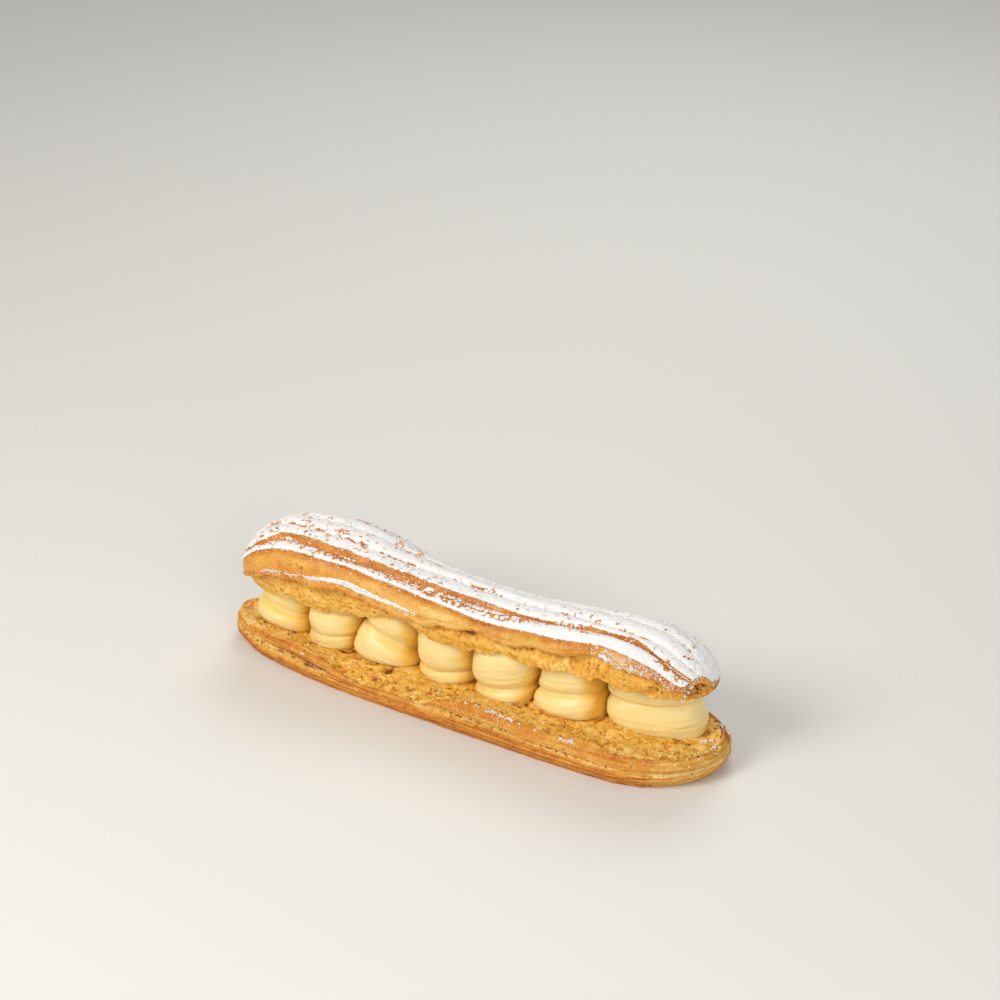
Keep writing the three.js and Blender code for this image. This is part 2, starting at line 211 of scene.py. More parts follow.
def cloud(points, size, salt):
    """Smooth noise from -1 to 1, with lumps of that size, which may differ along x, y and z."""
    place = points / size
    cell = np.floor(place)
    t = smooth(place - cell)
    total = np.zeros(points.shape[:-1])
    for corner in np.ndindex(2, 2, 2):
        weight = np.prod(np.where(np.array(corner) == 1, t, 1 - t), axis=-1)
        total += weight * chance(cell + np.array(corner), salt)
    return 2 * total - 1


def clouds(points, *layers):
    """The sum of clouds, each given by its height, its size and its salt."""
    return sum(height * cloud(points, size, salt) for height, size, salt in layers)


def ragged_line(x, y, *layers):
    """The same along a line in x at that y, as a column: how far a torn edge strays."""
    return clouds(np.concatenate([x, np.full_like(x, y), np.zeros_like(x)], axis=1), *layers)[:, None]


def pores(points, size, share, salt):
    """Depth in millimetres of round pores up to that size, of which that share is there."""
    place = points / size
    cell = np.floor(place)
    deepest = np.zeros(points.shape[:-1])
    for step in np.ndindex(3, 3, 3):
        near = cell + np.array(step) - 1
        centre = near + 0.2 + 0.6 * np.stack([chance(near, salt + k) for k in (1, 2, 3)], -1)
        radius = (0.18 + 0.32 * chance(near, salt + 4)) * (chance(near, salt + 5) < share)
        away = np.sum((place - centre) ** 2, axis=-1)
        deepest = np.maximum(deepest, np.sqrt(np.maximum(radius ** 2 - away, 0)))
    return deepest * size


def foam(points, size, salt):
    """Bubbles packed to that size: how far a place is from the wall between two, and a value of its own."""
    place = points / size
    cell = np.floor(place)
    nearest = np.full(points.shape[:-1], 9.0)
    second = nearest.copy()
    own = np.zeros(points.shape[:-1])
    for step in np.ndindex(3, 3, 3):
        near = cell + np.array(step) - 1
        centre = near + np.stack([chance(near, salt + k) for k in (1, 2, 3)], -1)
        away = np.sqrt(np.sum((place - centre) ** 2, axis=-1))
        closer = away < nearest
        second = np.where(closer, nearest, np.minimum(second, away))
        own = np.where(closer, chance(near, salt + 4), own)
        nearest = np.minimum(nearest, away)
    return second - nearest, own


def outward(rings):
    """Directions out of a skin of closed rings, at each of its points."""
    along = np.gradient(rings, axis=0)
    round_it = (np.roll(rings, -1, axis=1) - np.roll(rings, 1, axis=1)) / 2
    normal = np.cross(round_it, along)
    normal /= np.linalg.norm(normal, axis=-1, keepdims=True) + 1e-9
    middle = rings.mean(axis=1, keepdims=True)
    facing = np.sum(normal * (rings - middle))
    return normal if facing > 0 else -normal


def add_piece(name, points, triangles, fields, material, slot, nodes=()):
    """A smooth mesh from points in millimetres, with named values at the points."""
    mesh = bpy.data.meshes.new(name)
    mesh.vertices.add(len(points))
    mesh.vertices.foreach_set("co", (points * MM).astype(np.float32).ravel())
    mesh.loops.add(triangles.size)
    mesh.loops.foreach_set("vertex_index", triangles.astype(np.int32).ravel())
    mesh.polygons.add(len(triangles))
    mesh.polygons.foreach_set("loop_start", np.arange(0, triangles.size, 3, dtype=np.int32))
    mesh.update(calc_edges=True)
    mesh.shade_smooth()
    for field, values in fields.items():
        attribute = mesh.attributes.new(field, "FLOAT", "POINT")
        attribute.data.foreach_set("value", values.astype(np.float32).ravel())
    mesh.materials.append(material)
    piece = bpy.data.objects.new(name, mesh)
    bpy.context.scene.collection.objects.link(piece)
    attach(piece, "root")
    if nodes:
        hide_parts(*nodes)


def skin(rings, tips, fields):
    """Points, triangles and fields of a closed skin over rings, with a tip at each end."""
    count, size = rings.shape[:2]
    points = np.concatenate([tips[:1], rings.reshape(-1, 3), tips[1:]]) + SHIFT
    index = 1 + np.arange(count * size).reshape(count, size)
    beside = np.roll(index, -1, axis=1)
    low, high, low_beside, high_beside = index[:-1], index[1:], beside[:-1], beside[1:]
    quads = [np.stack([low, low_beside, high_beside], -1), np.stack([low, high_beside, high], -1)]
    left = np.stack([np.zeros(size, int), beside[0], index[0]], -1)
    right = np.stack([np.full(size, len(points) - 1), index[-1], beside[-1]], -1)
    triangles = np.concatenate([quads[0].reshape(-1, 3), quads[1].reshape(-1, 3), left, right])
    ends = {name: np.concatenate([[f[0].mean()], f.ravel(), [f[-1].mean()]]) for name, f in fields.items()}
    a, b, c = points[triangles].transpose(1, 0, 2)
    volume = np.sum(a * np.cross(b, c))
    return points, triangles if volume > 0 else triangles[:, ::-1], ends


def base_full(x):
    return fullness(x, BASE_LEFT, BASE_LEFT_RUN, BASE_RIGHT, BASE_RIGHT_RUN, 2)


def base_centre(x):
    return BASE_END_SWAY * (x / BASE_RIGHT) ** 3


def belly(z):
    """Half width of the base at height z, as a share of its widest."""
    radius = np.where(z < BELLY_HEIGHT, BELLY_RADIUS_BELOW, BELLY_RADIUS_ABOVE)
    return np.sqrt(1 - ((z - BELLY_HEIGHT) / radius) ** 2)


def base_side_share(z, full):
    """The same with the broad piped ridges, which fade out where the base rests."""
    groove = 0.5 - 0.5 * np.cos(2 * np.pi * z / BASE_RIDGE_PITCH)
    fade = smooth(z / 1.5) * full
    return belly(z) - fade * BASE_RIDGE_DEPTH * groove / BASE_HALF_WIDTH


def tucked(x, full, share, z):
    """x of a point of the base, whose ends bend round so that they are tucked in."""
    turn = np.sign(x) * np.sqrt(1 - full ** 2) * BASE_HALF_WIDTH
    return x - turn * (1 - share) * np.where(z < BELLY_HEIGHT, 1, END_TUCK_ABOVE)


def base_points(x, full, share, side, z, bend=None):
    """Points of the base at a share of its half width, on side -1 (near) or 1 (far)."""
    y = base_centre(x) + side * BASE_HALF_WIDTH * full * share
    return np.stack([tucked(x, full, share if bend is None else bend, z), y, z], -1)


FLOOR_POINTS, SIDE_POINTS, LIP_POINTS, INSIDE_POINTS = 14, 42, 5, 14
OUTSIDE_POINTS = SIDE_POINTS + LIP_POINTS
LIP_BULGE, LIP_FALL = 0.25, 0.5
INSIDE_HEIGHT, INSIDE_SHARE = 3.4, 0.8
x = base_x = section_places(BASE_LEFT, BASE_RIGHT, BASE_SECTIONS)
full = base_full(x)
# towards each tip the inside rises to the rim and narrows, until the shell is closed
closing = 1 - smooth((full - 0.15) / 0.25)
sides = []
for side, rim_line, salt in ((-1, NEAR_RIM, 11), (1, FAR_RIM, 12)):
    ragged = ragged_line(x, 40.0 * side, [0.35, 5, salt], [0.28, 1.7, salt + 2], [0.16, 0.7, salt + 4])
    rim = through(rim_line, x) + ragged * smooth(full * 2)
    rim_share = base_side_share(rim, full)
    up = np.linspace(0, 1, SIDE_POINTS)[None, :]
    z = rim * up
    outer = base_points(x, full, base_side_share(z, full), side, z)
    inward = np.linspace(0, 1, LIP_POINTS + 1)[None, 1:]
    lip_z = rim + LIP_BULGE * np.sin(np.pi * inward) - LIP_FALL * inward ** 2
    lip_share = rim_share - BASE_CRUST_THICKNESS * inward / BASE_HALF_WIDTH / np.maximum(full, 0.2)
    lip_share = np.maximum(lip_share, 0)
    lip = base_points(x, full, lip_share, side, lip_z, lip_share + (rim_share - lip_share) * closing)
    sides.append(np.concatenate([outer, lip], axis=1))
across = np.linspace(1, -1, INSIDE_POINTS + 2)[None, 1:-1]
inside_z = INSIDE_HEIGHT + (rim - INSIDE_HEIGHT - 0.7) * closing + 0 * across
inside_share = (INSIDE_SHARE - 0.22 * closing) * np.abs(across)
inside_bend = inside_share + (rim_share - inside_share) * closing
inside = base_points(x, full, inside_share, -np.sign(across), inside_z, inside_bend)
across = np.linspace(1, -1, FLOOR_POINTS + 2)[None, 1:-1]
floor_share = belly(0.0)
under = base_points(x, full, floor_share * np.abs(across), np.sign(across), 0 * across * x, floor_share)
rings = np.concatenate([sides[0], inside, sides[1][:, ::-1], under], axis=1)
rim_height = np.concatenate([up + 0 * x, np.ones_like(lip_z)], axis=1)
shown = np.zeros(rings.shape[1])
shown[:OUTSIDE_POINTS] = 1
shown[OUTSIDE_POINTS + INSIDE_POINTS:-FLOOR_POINTS] = 1
normal = outward(rings)

# A broad orange ridge runs along the side. At the left it lies under a pale torn rim, with a
# rough pocket below it. From the middle on a second ridge forms the rim, over a strip of tiny
# pores. Fine piping lines run under it all, their grooves painted dark as shade.
BAND_FOOT = [[-82, 6.2], [-66, 6.9], [-54, 7.1], [-46, 6.9], [-40, 6.4], [-35, 5.8], [-28, 5.2], [-19, 4.7],
             [-12, 4.9], [-8, 6], [-1, 7.3], [8, 7.1], [26, 7.1], [36, 6.8], [45, 6.5], [56, 6], [68, 5.7],
             [83, 5.6]]
BAND_TOP = [[-82, 8], [-66, 8.4], [-54, 8.8], [-44, 8.5], [-38, 8], [-32, 9], [83, 14]]
PALE_FOOT = [[-82, 4.8], [-66, 4.4], [-55, 4.5], [-46, 4.1], [-40, 4.8], [-36, 6.4], [-28, 5.8], [-19, 5.4],
             [-12, 5.4], [-8, 5.4], [-1, 4.9], [8, 5.9], [26, 6.2], [36, 5.8], [45, 5.5], [56, 4.9],
             [83, 4.6]]
FOLD_DEPTH = [[-82, 0.2], [-62, 0.4], [-50, 0.75], [-38, 0.85], [-32, 0.4], [-10, 0.2], [0, 0.35], [83, 0.35]]
POCKET_DEPTH = [[-82, 0.1], [-62, 0.35], [-48, 0.55], [-38, 0.5], [-30, 0], [-8, 0], [0, 0.35], [83, 0.2]]
WALL_HOLES = [[69.1, -16.1, 4.5, 0.3], [70.8, -15.3, 4.4, 0.4], [44.3, -19.5, 6.7, 0.3],
              [-40.6, -21.2, 6.1, 0.9], [-46, -20.3, 5.3, 0.8], [-57, -18.6, 5.9, 0.6],
              [-42.5, -21, 5.2, 0.7], [-52, -19.6, 6.0, 0.5]]
LINE_PITCH, LINE_WIDTH = 1.2, 0.15
z = rings[..., 2]
level = z + clouds(rings, [0.3, (16, 60, 60), 21], [0.18, (5, 30, 30), 22])
band_foot, band_top, pale_foot = through(BAND_FOOT, x), through(BAND_TOP, x), through(PALE_FOOT, x)
in_rim = smooth((level - band_top) / 0.5 + 0.5)
in_band = smooth((level - band_foot) / 0.4 + 0.5) * (1 - in_rim)
in_pale = smooth((level - pale_foot) / 0.5 + 0.5) * smooth((band_foot - level) / 0.4 + 0.5)
in_lines = 1 - np.maximum(np.maximum(in_band, in_pale), in_rim)
low = in_lines * smooth((pale_foot - 0.6 - level) / 0.9 + 0.5)

# the piping lines: thin grooves painted dark as shade, a pale flaky edge above each, missing in places
phase = (z + clouds(rings, [1.0, (40, 60, 60), 37], [0.3, (12, 30, 30), 38])) / LINE_PITCH
to_line = np.abs(phase - np.round(phase)) * LINE_PITCH
line_there = smooth(0.9 + 1.3 * cloud(rings, (14, 40, 2.0), 23))
line_there = line_there * np.clip(low + 0.35 * in_lines + 0.3 * in_band, 0, 1)
lines = peak(to_line, LINE_WIDTH) * line_there
rounded = np.cos(np.pi * to_line / LINE_PITCH) * low
flake_edge = peak(phase - np.floor(phase) - 0.24, 0.09) * line_there
past_middle = np.maximum(rings[..., :1] - 50, 0)
curled = smooth((x - 50) / 16) * cloud(rings - 0.05 * past_middle, (24, 24, 0.55), 45)

# the broad ridge: a fold along its foot, with a pale edge, and swelling above and below it
band_edge = peak(level - band_foot - 0.15, 0.16) * smooth(0.75 + cloud(rings, (10, 30, 30), 42))
fold = peak(level - band_foot + 0.15, 0.3) * through(FOLD_DEPTH, x)
under_pale = smooth((band_foot - pale_foot) / 0.6)
bulge = 0.45 * peak(level - band_foot - 1.0, 0.8) + 0.3 * under_pale * peak(level - pale_foot + 0.7, 0.6)

# the baked surface: fine wrinkles, blisters, rough torn places, strips of pores and holes
fine, grain, blisters = cloud(rings, (1.8, 1.8, 0.6), 24), cloud(rings, 0.6, 41), cloud(rings, 2.2, 25)
rough = clouds(rings, [1, 0.8, 43], [0.6, 0.5, 44])
porous = smooth(cloud(rings, (7, 7, 0.8), 29) * 1.6 + 0.7) * np.clip(in_pale + 0.35 * in_rim, 0, 1)
pits = pores(rings, 0.9, 0.05, 39)
for hole_x, hole_y, hole_z, size in WALL_HOLES:
    away = np.linalg.norm((rings - np.array([hole_x, hole_y, hole_z])) * np.array([0.6, 1, 1.2]), axis=-1)
    pits = pits + 0.8 * peak(away, size)
relief = (0.16 * rounded - 0.3 * lines + 0.1 * flake_edge - fold + bulge + 0.09 * fine + 0.05 * grain
          + 0.2 * blisters + 0.14 * curled - 0.8 * pits - through(POCKET_DEPTH, x) * in_pale
          + 0.14 * rough * np.clip(in_pale + 0.8 * in_rim, 0, 1))
fade = shown[None, :] * smooth(3 * full) * smooth(rings[..., 2] / 0.8)
rings = rings + normal * (relief * fade)[..., None]
rings[..., 2] = np.maximum(rings[..., 2], 0)

# how brown the crust is, and painted shade in its pits, holes, grooves and the bottoms of its folds
far_end = smooth((x - 66) / 8) * smooth((rings[..., 1] - 6) / 4) * smooth((z - 6) / 2)
bake = (0.54 * in_band + 0.22 * in_pale + 0.26 * in_rim + 0.53 * in_lines + 0.17 * low
        + 0.12 * smooth((2 - z) / 2) + clouds(rings, [0.16, (15, 15, 3.0), 27], [0.1, (4, 4, 1.2), 28])
        + 0.06 * blisters - 0.06 * grain - 0.24 * curled - 0.42 * flake_edge - 0.36 * band_edge
        + 0.13 * rough * in_pale + 0.07 * rough * in_rim - 0.2 * smooth((x - 68) / 8) + 0.4 * far_end)
# painted shade: pits, holes, piping grooves and fold bottoms are mixed towards dark brown
dark = np.clip(pits / 0.4 + 0.65 * lines + 0.9 * fold, 0, 1) * shown[None, :]
base_fields = {"bake": np.clip(bake, 0, 1), "recess_shade": dark, "porous": porous * shown[None, :]}

# The crust is dry starch and egg, baked golden where it is thin and brown on its ridges. It is
# satin, with a faint glow from below the surface. Its pits, grooves, folds and burst bubbles are
# painted dark brown as shade. The mottling is drawn at 3 mm and 0.6 mm, and the burst bubbles of
# its pale strip at 1 mm, twice their real spacing, so that they show.
BAKED_COLOURS = [(0.0, "#efcd86"), (0.25, "#e3b255"), (0.5, "#d79130"), (0.75, "#bf6c1b"), (1.0, "#8a4210")]
RECESS_SHADE_BROWN = "#804618"
PORE_SPACING = 1.05


def baked_colour(material):
    """Colour of baked crust from its bake and porous fields and its painted shade in recesses, and the
    height of its relief.
    """
    where = add_node(material, "ShaderNodeTexCoord").outputs["Object"]
    bake, recess_shade, porous = (add_node(material, "ShaderNodeAttribute", attribute_name=name).outputs["Fac"]
                         for name in ("bake", "recess_shade", "porous"))
    mottle = add_node(material, "ShaderNodeTexNoise", {"Vector": where, "Scale": 1 / (3 * MM), "Detail": 4})
    speckle = add_node(material, "ShaderNodeTexNoise",
                       {"Vector": where, "Scale": 1 / (0.6 * MM), "Detail": 3})
    mottled = add_node(material, "ShaderNodeMath", {0: mottle, 1: 0.5, 2: bake}, operation="MULTIPLY_ADD")
    speckled = add_node(material, "ShaderNodeMath", {0: speckle, 1: 0.7, 2: mottled},
                        operation="MULTIPLY_ADD")
    shade = add_node(material, "ShaderNodeMath", {0: speckled, 1: 0.6}, operation="SUBTRACT")
    crust = add_node(material, "ShaderNodeValToRGB", {"Fac": shade}, BAKED_COLOURS)
    bent = add_node(material, "ShaderNodeVectorMath",
                    {0: speckle.outputs["Color"], 1: (0.5 * MM,) * 3, 2: where},
                    operation="MULTIPLY_ADD")
    bubbles = add_node(material, "ShaderNodeTexVoronoi", {"Vector": bent, "Scale": 1 / (PORE_SPACING * MM)})
    inside = add_node(material, "ShaderNodeMapRange", {0: bubbles, 1: 0.5, 2: 0.28})
    burst = add_node(material, "ShaderNodeMath", {0: bubbles.outputs["Color"], 1: 0.36},
                     operation="GREATER_THAN")
    hole = add_node(material, "ShaderNodeMath", {0: inside, 1: burst}, operation="MULTIPLY")
    pore = add_node(material, "ShaderNodeMath", {0: hole, 1: porous}, operation="MULTIPLY")
    # painted shade: recesses and burst bubbles are mixed towards dark brown
    deep = add_node(material, "ShaderNodeMath", {0: pore, 1: 0.8, 2: recess_shade}, operation="MULTIPLY_ADD",
                    use_clamp=True)
    crust_with_shade = add_node(material, "ShaderNodeMix", {0: deep, 6: crust, 7: hex_colour(RECESS_SHADE_BROWN)},
                      data_type="RGBA")
    relief = add_node(material, "ShaderNodeMath", {0: speckle, 1: pore}, operation="SUBTRACT")
    return crust_with_shade.outputs[2], relief


baked_choux = new_material("baked choux crust, golden and satin")
crust_colour, crust_relief = baked_colour(baked_choux)
crust_bump = add_node(baked_choux, "ShaderNodeBump",
                      {"Height": crust_relief, "Strength": 0.45, "Distance": 0.16 * MM})
crust_shader = add_node(baked_choux, "ShaderNodeBsdfPrincipled", {
    "Base Color": crust_colour, "Normal": crust_bump, "Roughness": 0.55, "IOR": 1.4,
    "Subsurface Weight": 0.15, "Subsurface Scale": 1.0 * MM, "Subsurface Radius": (1.0, 0.5, 0.2)})
add_node(baked_choux, "ShaderNodeOutputMaterial", {"Surface": crust_shader})

# everything is shifted so that the base lies where the solid base lies
base_box = [np.array(corner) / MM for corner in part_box("base")]
built_middle = (rings[..., 1].min() + rings[..., 1].max()) / 2
SHIFT = np.array([base_box[1][0] - BASE_RIGHT, (base_box[0][1] + base_box[1][1]) / 2 - built_middle, 0])
base_crust_face = (rings + SHIFT, normal)
tips = [[edge_x, base_centre(edge_x), BELLY_HEIGHT] for edge_x in (BASE_LEFT, BASE_RIGHT)]
base_crust = skin(rings, tips, base_fields)
add_piece("base_crust", *base_crust, baked_choux, "baked_choux", ["base"])

# Shape of the base's torn top, on which the cream is piped: it dips along the middle and is
# lumpy, calmer towards the two rims.
BASE_FLOOR = [[-82, 7.2], [-30, 7], [10, 7.8], [60, 8.2], [83, 8]]
RIM_SLOPE_WIDTH = 8
BASE_CRUMB_LIFT = 0.4
BASE_CRUMB_SIZE = 6
RIM_CALM = 0.7


def lumps(u, v, salt):
    """Repeatable lumps from -1 to 1, one to a unit of u and v."""
    i, j = np.floor(u), np.floor(v)
    s, t = smooth(u - i), smooth(v - j)
    corner = [[scrambled((i + a) * 127.1 + (j + b) * 311.7 + salt * 74.7) for a in (0, 1)] for b in (0, 1)]
    near, far = (low * (1 - s) + high * s for low, high in corner)
    return 2 * (near * (1 - t) + far * t) - 1


def base_top(x, y):
    """Height of the base's torn top at x and at distance y from its centre line."""
    full = base_full(x)
    near_rim, far_rim = through(NEAR_RIM, x), through(FAR_RIM, x)
    near = BASE_HALF_WIDTH * full * base_side_share(near_rim, full)
    far = BASE_HALF_WIDTH * full * base_side_share(far_rim, full)
    near_pull = 1 - smooth((y + near) / RIM_SLOPE_WIDTH)
    far_pull = 1 - smooth((far - y) / RIM_SLOPE_WIDTH)
    level = through(BASE_FLOOR, x)
    rise = (near_rim - level) * near_pull + (far_rim - level) * far_pull
    bumps = (lumps(x / BASE_CRUMB_SIZE, y / BASE_CRUMB_SIZE, 1)
             + 0.5 * lumps(2 * x / BASE_CRUMB_SIZE, 2 * y / BASE_CRUMB_SIZE, 2))
    calm = 1 - RIM_CALM * np.maximum(near_pull, far_pull)
    return level + rise / np.maximum(1, near_pull + far_pull) + BASE_CRUMB_LIFT * bumps * full * calm


# Shape of the lid, which the cream and both layers of the lid share: a half ellipse over a
# springing line that rises and falls, cut off below by a torn face that hangs down to a hem.
LID_LEFT, LID_RIGHT = -78.6, 78.6
LID_HALF_WIDTH, LID_RISE = 18, 14
LID_LEFT_RUN, LID_RIGHT_RUN, LID_ROUNDNESS = 20, 27, 2.1
LID_LEFT_SWAY, LID_RIGHT_SWAY = -1.5, 5
LID_SPRING = [[-79, 25.9], [-68, 27], [-58, 28.1], [-47, 29.2], [-36, 28], [-26, 25.3], [-11, 22.6],
              [3, 22.2], [17, 22.5], [30, 23.9], [44, 25.6], [57, 26.2], [78, 25.6]]
LID_HEM = [[-79, 19], [-74, 19], [-68, 19.6], [-60, 20.4], [-50, 19.4], [-40, 21.8], [-29, 22.6], [-18, 25.2],
           [-10, 23.8], [-1, 21.8], [9, 23.4], [17, 25.4], [27, 24.5], [37, 25.4], [50, 26.4], [57, 25.2],
           [67, 24.8], [78, 23]]
LID_HEM_REACH = 11
LID_HOLLOW = 1.6
NEAR_CRUST_EDGE = [[-79, -26], [-74, -12], [-67, 3], [-60, 10], [-53, 9.5], [-48, 6.5], [-42, 10.5],
                   [-35, 18.5], [-29, 21.5], [-23, 22.5], [-16, 27], [-10, 30], [-5, 33], [-2, 38], [3, 38],
                   [11, 41], [20, 38.5], [27, 40.5], [34, 37], [43, 40.5], [50, 42.5], [57, 37], [61, 34],
                   [64.4, 31], [68, 29], [71, 25], [74, 21], [75.2, 34], [76.2, 48], [77.4, 54], [78.6, 62]]
FAR_CRUST_EDGE = [[-79, -30], [-68, 2], [-40, 8], [0, 18], [40, 14], [78, 10]]


def lid_full(x):
    return fullness(x, LID_LEFT, LID_LEFT_RUN, LID_RIGHT, LID_RIGHT_RUN, LID_ROUNDNESS)


def lid_centre(x):
    return np.where(x < 0, LID_LEFT_SWAY, LID_RIGHT_SWAY) * np.abs(x / LID_RIGHT) ** 3


def lid_tips(inset):
    """The two tips of a layer of the lid that ends that far inside the lid's own."""
    return [[x, lid_centre(x), through(LID_SPRING, x)] for x in (LID_LEFT + inset, LID_RIGHT - inset)]


def lid_crust(x, angle, sunk):
    """Points of the crust at an angle round the lid from its near side, sunk by so much."""
    full = lid_full(x)
    turn = np.radians(angle)
    y = lid_centre(x) - full * (LID_HALF_WIDTH - sunk) * np.cos(turn)
    z = through(LID_SPRING, x) + full * (LID_RISE - sunk) * np.sin(turn)
    return np.stack([x + 0 * angle, y + 0 * z, z + 0 * y], -1)


def lid_underside(x, y):
    """Height of the lid's underside above that place, level beyond its hanging edges."""
    full = np.maximum(lid_full(x), 0.05)
    out = np.clip((y - lid_centre(x)) / full, -LID_HEM_REACH, LID_HEM_REACH)
    hem = through(LID_HEM, x) - through(LID_SPRING, x)
    hollow = LID_HOLLOW * np.cos(0.5 * np.pi * out / LID_HEM_REACH)
    return through(LID_SPRING, x) + full * (hem + hollow)


# Cream rosettes: cooked custard lightened with butter and piped cold and smooth from a wide
# plain nozzle, each in two or three coils that sag into each other. The seams between coils
# stay as creases, faint streaks follow the nozzle, and neighbours press each other flat.

# a coil is [height of its upper seam, width as a share]. Its seam climbs on the side "from" and
# is faint on the side "fades", both in degrees round from +X
ROSETTES = [
    {"x": -65, "y": -0.4, "wide": 11.3, "deep": 9.4, "square": 2, "drift": 0, "climb": 1.5, "from": 185,
     "faint": 0.1, "fades": 215, "recede": 0, "coils": [[12.7, 1.02], [23.6, 0.95]]},
    {"x": -47, "y": 0.5, "wide": 11, "deep": 11, "square": 2, "drift": 1, "climb": 0.9, "from": 350,
     "faint": 0.6, "fades": 250, "recede": 0, "coils": [[10.6, 0.98], [17.8, 1.01], [23.6, 0.93]]},
    {"x": -28.5, "y": 0.8, "wide": 12, "deep": 11.5, "square": 2.2, "drift": 2, "climb": 4.6, "from": 215,
     "faint": 0, "fades": 0, "recede": 0, "coils": [[13.6, 1.03], [26.4, 0.94]]},
    {"x": -7, "y": 2, "wide": 11, "deep": 11, "square": 2, "drift": 0, "climb": 1.4, "from": 350,
     "faint": 0.3, "fades": 340, "recede": 0, "coils": [[9.8, 0.97], [24.6, 1.06], [30, 0.9]]},
    {"x": 13.5, "y": 1.2, "wide": 11, "deep": 10.5, "square": 2.2, "drift": 0, "climb": 2.3, "from": 0,
     "faint": 0.2, "fades": 345, "recede": 0, "coils": [[10.4, 1.0], [25.6, 1.05], [31, 0.9]]},
    {"x": 34, "y": 3, "wide": 13.6, "deep": 11, "square": 2, "drift": 1.5, "climb": 2.4, "from": 350,
     "faint": 0.15, "fades": 200, "recede": 0, "coils": [[14.1, 1.02], [27.8, 0.97]]},
    {"x": 60, "y": 6, "wide": 14.6, "deep": 9.4, "square": 2.4, "drift": -1, "climb": 1.8, "from": 30,
     "faint": 0.4, "fades": 350, "recede": 0.13, "coils": [[18.1, 1.02], [22.8, 0.96], [29, 0.94]]},
]
MEETINGS = [[-82, 0], [-56, 1], [-39, 4], [-17, 0.5], [3.2, 0], [22.2, 4.5], [46.6, -2], [82, 0]]
CREAM_HEIGHT = 16
COIL_BULGE, MOST_BULGE = 0.31, 3.0
FULLEST = 0.44
SEAM_SOFTNESS, SEAM_SHADE_WIDTH = 0.18, 0.9
FOOT_REACH, FOOT_SUNK = 0.9, 1.0
ROSETTE_FOOT = 5
ROSETTE_SIDES, CREAM_ROWS = 108, 84
SUNK_IN_CRUMB = 0.9
PRESS, MEETING_GAP = 0.7, 0.08
TURNS_AWAY_BEFORE = 10

# Custard is milk fat and egg, so light goes several millimetres in and comes out warmer. Its
# skin is satin. Deeper yellow is painted shade in the seams between coils, where neighbours press
# together, most on each rosette's right side, and under the lid; it also varies along the nozzle's
# streaks, which are 0.7 mm apart.
custard = new_material("custard cream, smooth and satin")
where = add_node(custard, "ShaderNodeTexCoord").outputs["Object"]
shade_value = add_node(custard, "ShaderNodeAttribute", attribute_name="shade_and_streaks").outputs["Fac"]
cloudy = add_node(custard, "ShaderNodeTexNoise", {"Vector": where, "Scale": 1 / (5 * MM), "Detail": 2})
deeper = add_node(custard, "ShaderNodeMath", {0: cloudy, 1: 0.3, 2: shade_value}, operation="MULTIPLY_ADD")
cream_shade = add_node(custard, "ShaderNodeMath", {0: deeper, 1: 0.15}, operation="SUBTRACT")
cream_colour = add_node(custard, "ShaderNodeValToRGB", {"Fac": cream_shade},
                        [(0.0, "#f4df9e"), (0.3, "#f0d078"), (0.65, "#e6b545"), (1.0, "#da992b")])
lying = add_node(custard, "ShaderNodeMapping", {"Vector": where, "Scale": (0.12, 0.12, 1)})
streaky = add_node(custard, "ShaderNodeTexNoise", {"Vector": lying, "Scale": 1 / (0.7 * MM), "Detail": 2})
cream_bump = add_node(custard, "ShaderNodeBump", {"Height": streaky, "Strength": 0.4, "Distance": 0.12 * MM})
cream_shader = add_node(custard, "ShaderNodeBsdfPrincipled", {
    "Base Color": cream_colour, "Normal": cream_bump, "Roughness": 0.38, "IOR": 1.38,
    "Subsurface Weight": 0.75, "Subsurface Scale": 2.2 * MM, "Subsurface Radius": (1.0, 0.82, 0.42),
    "Coat Weight": 0.3, "Coat Roughness": 0.32})
add_node(custard, "ShaderNodeOutputMaterial", {"Surface": cream_shader})


def pressed(x, low, high):
    """x kept between two faces, with a rounded edge where it meets each."""
    x = high - PRESS * np.logaddexp(0, (high - x) / PRESS)
    return low + PRESS * np.logaddexp(0, (x - low) / PRESS)


def rounded_turn(turn, square):
    """A cosine or sine made squarer, so that a circle becomes a rounded square: 2 keeps it."""
    return np.sign(turn) * np.abs(turn) ** (2 / square)


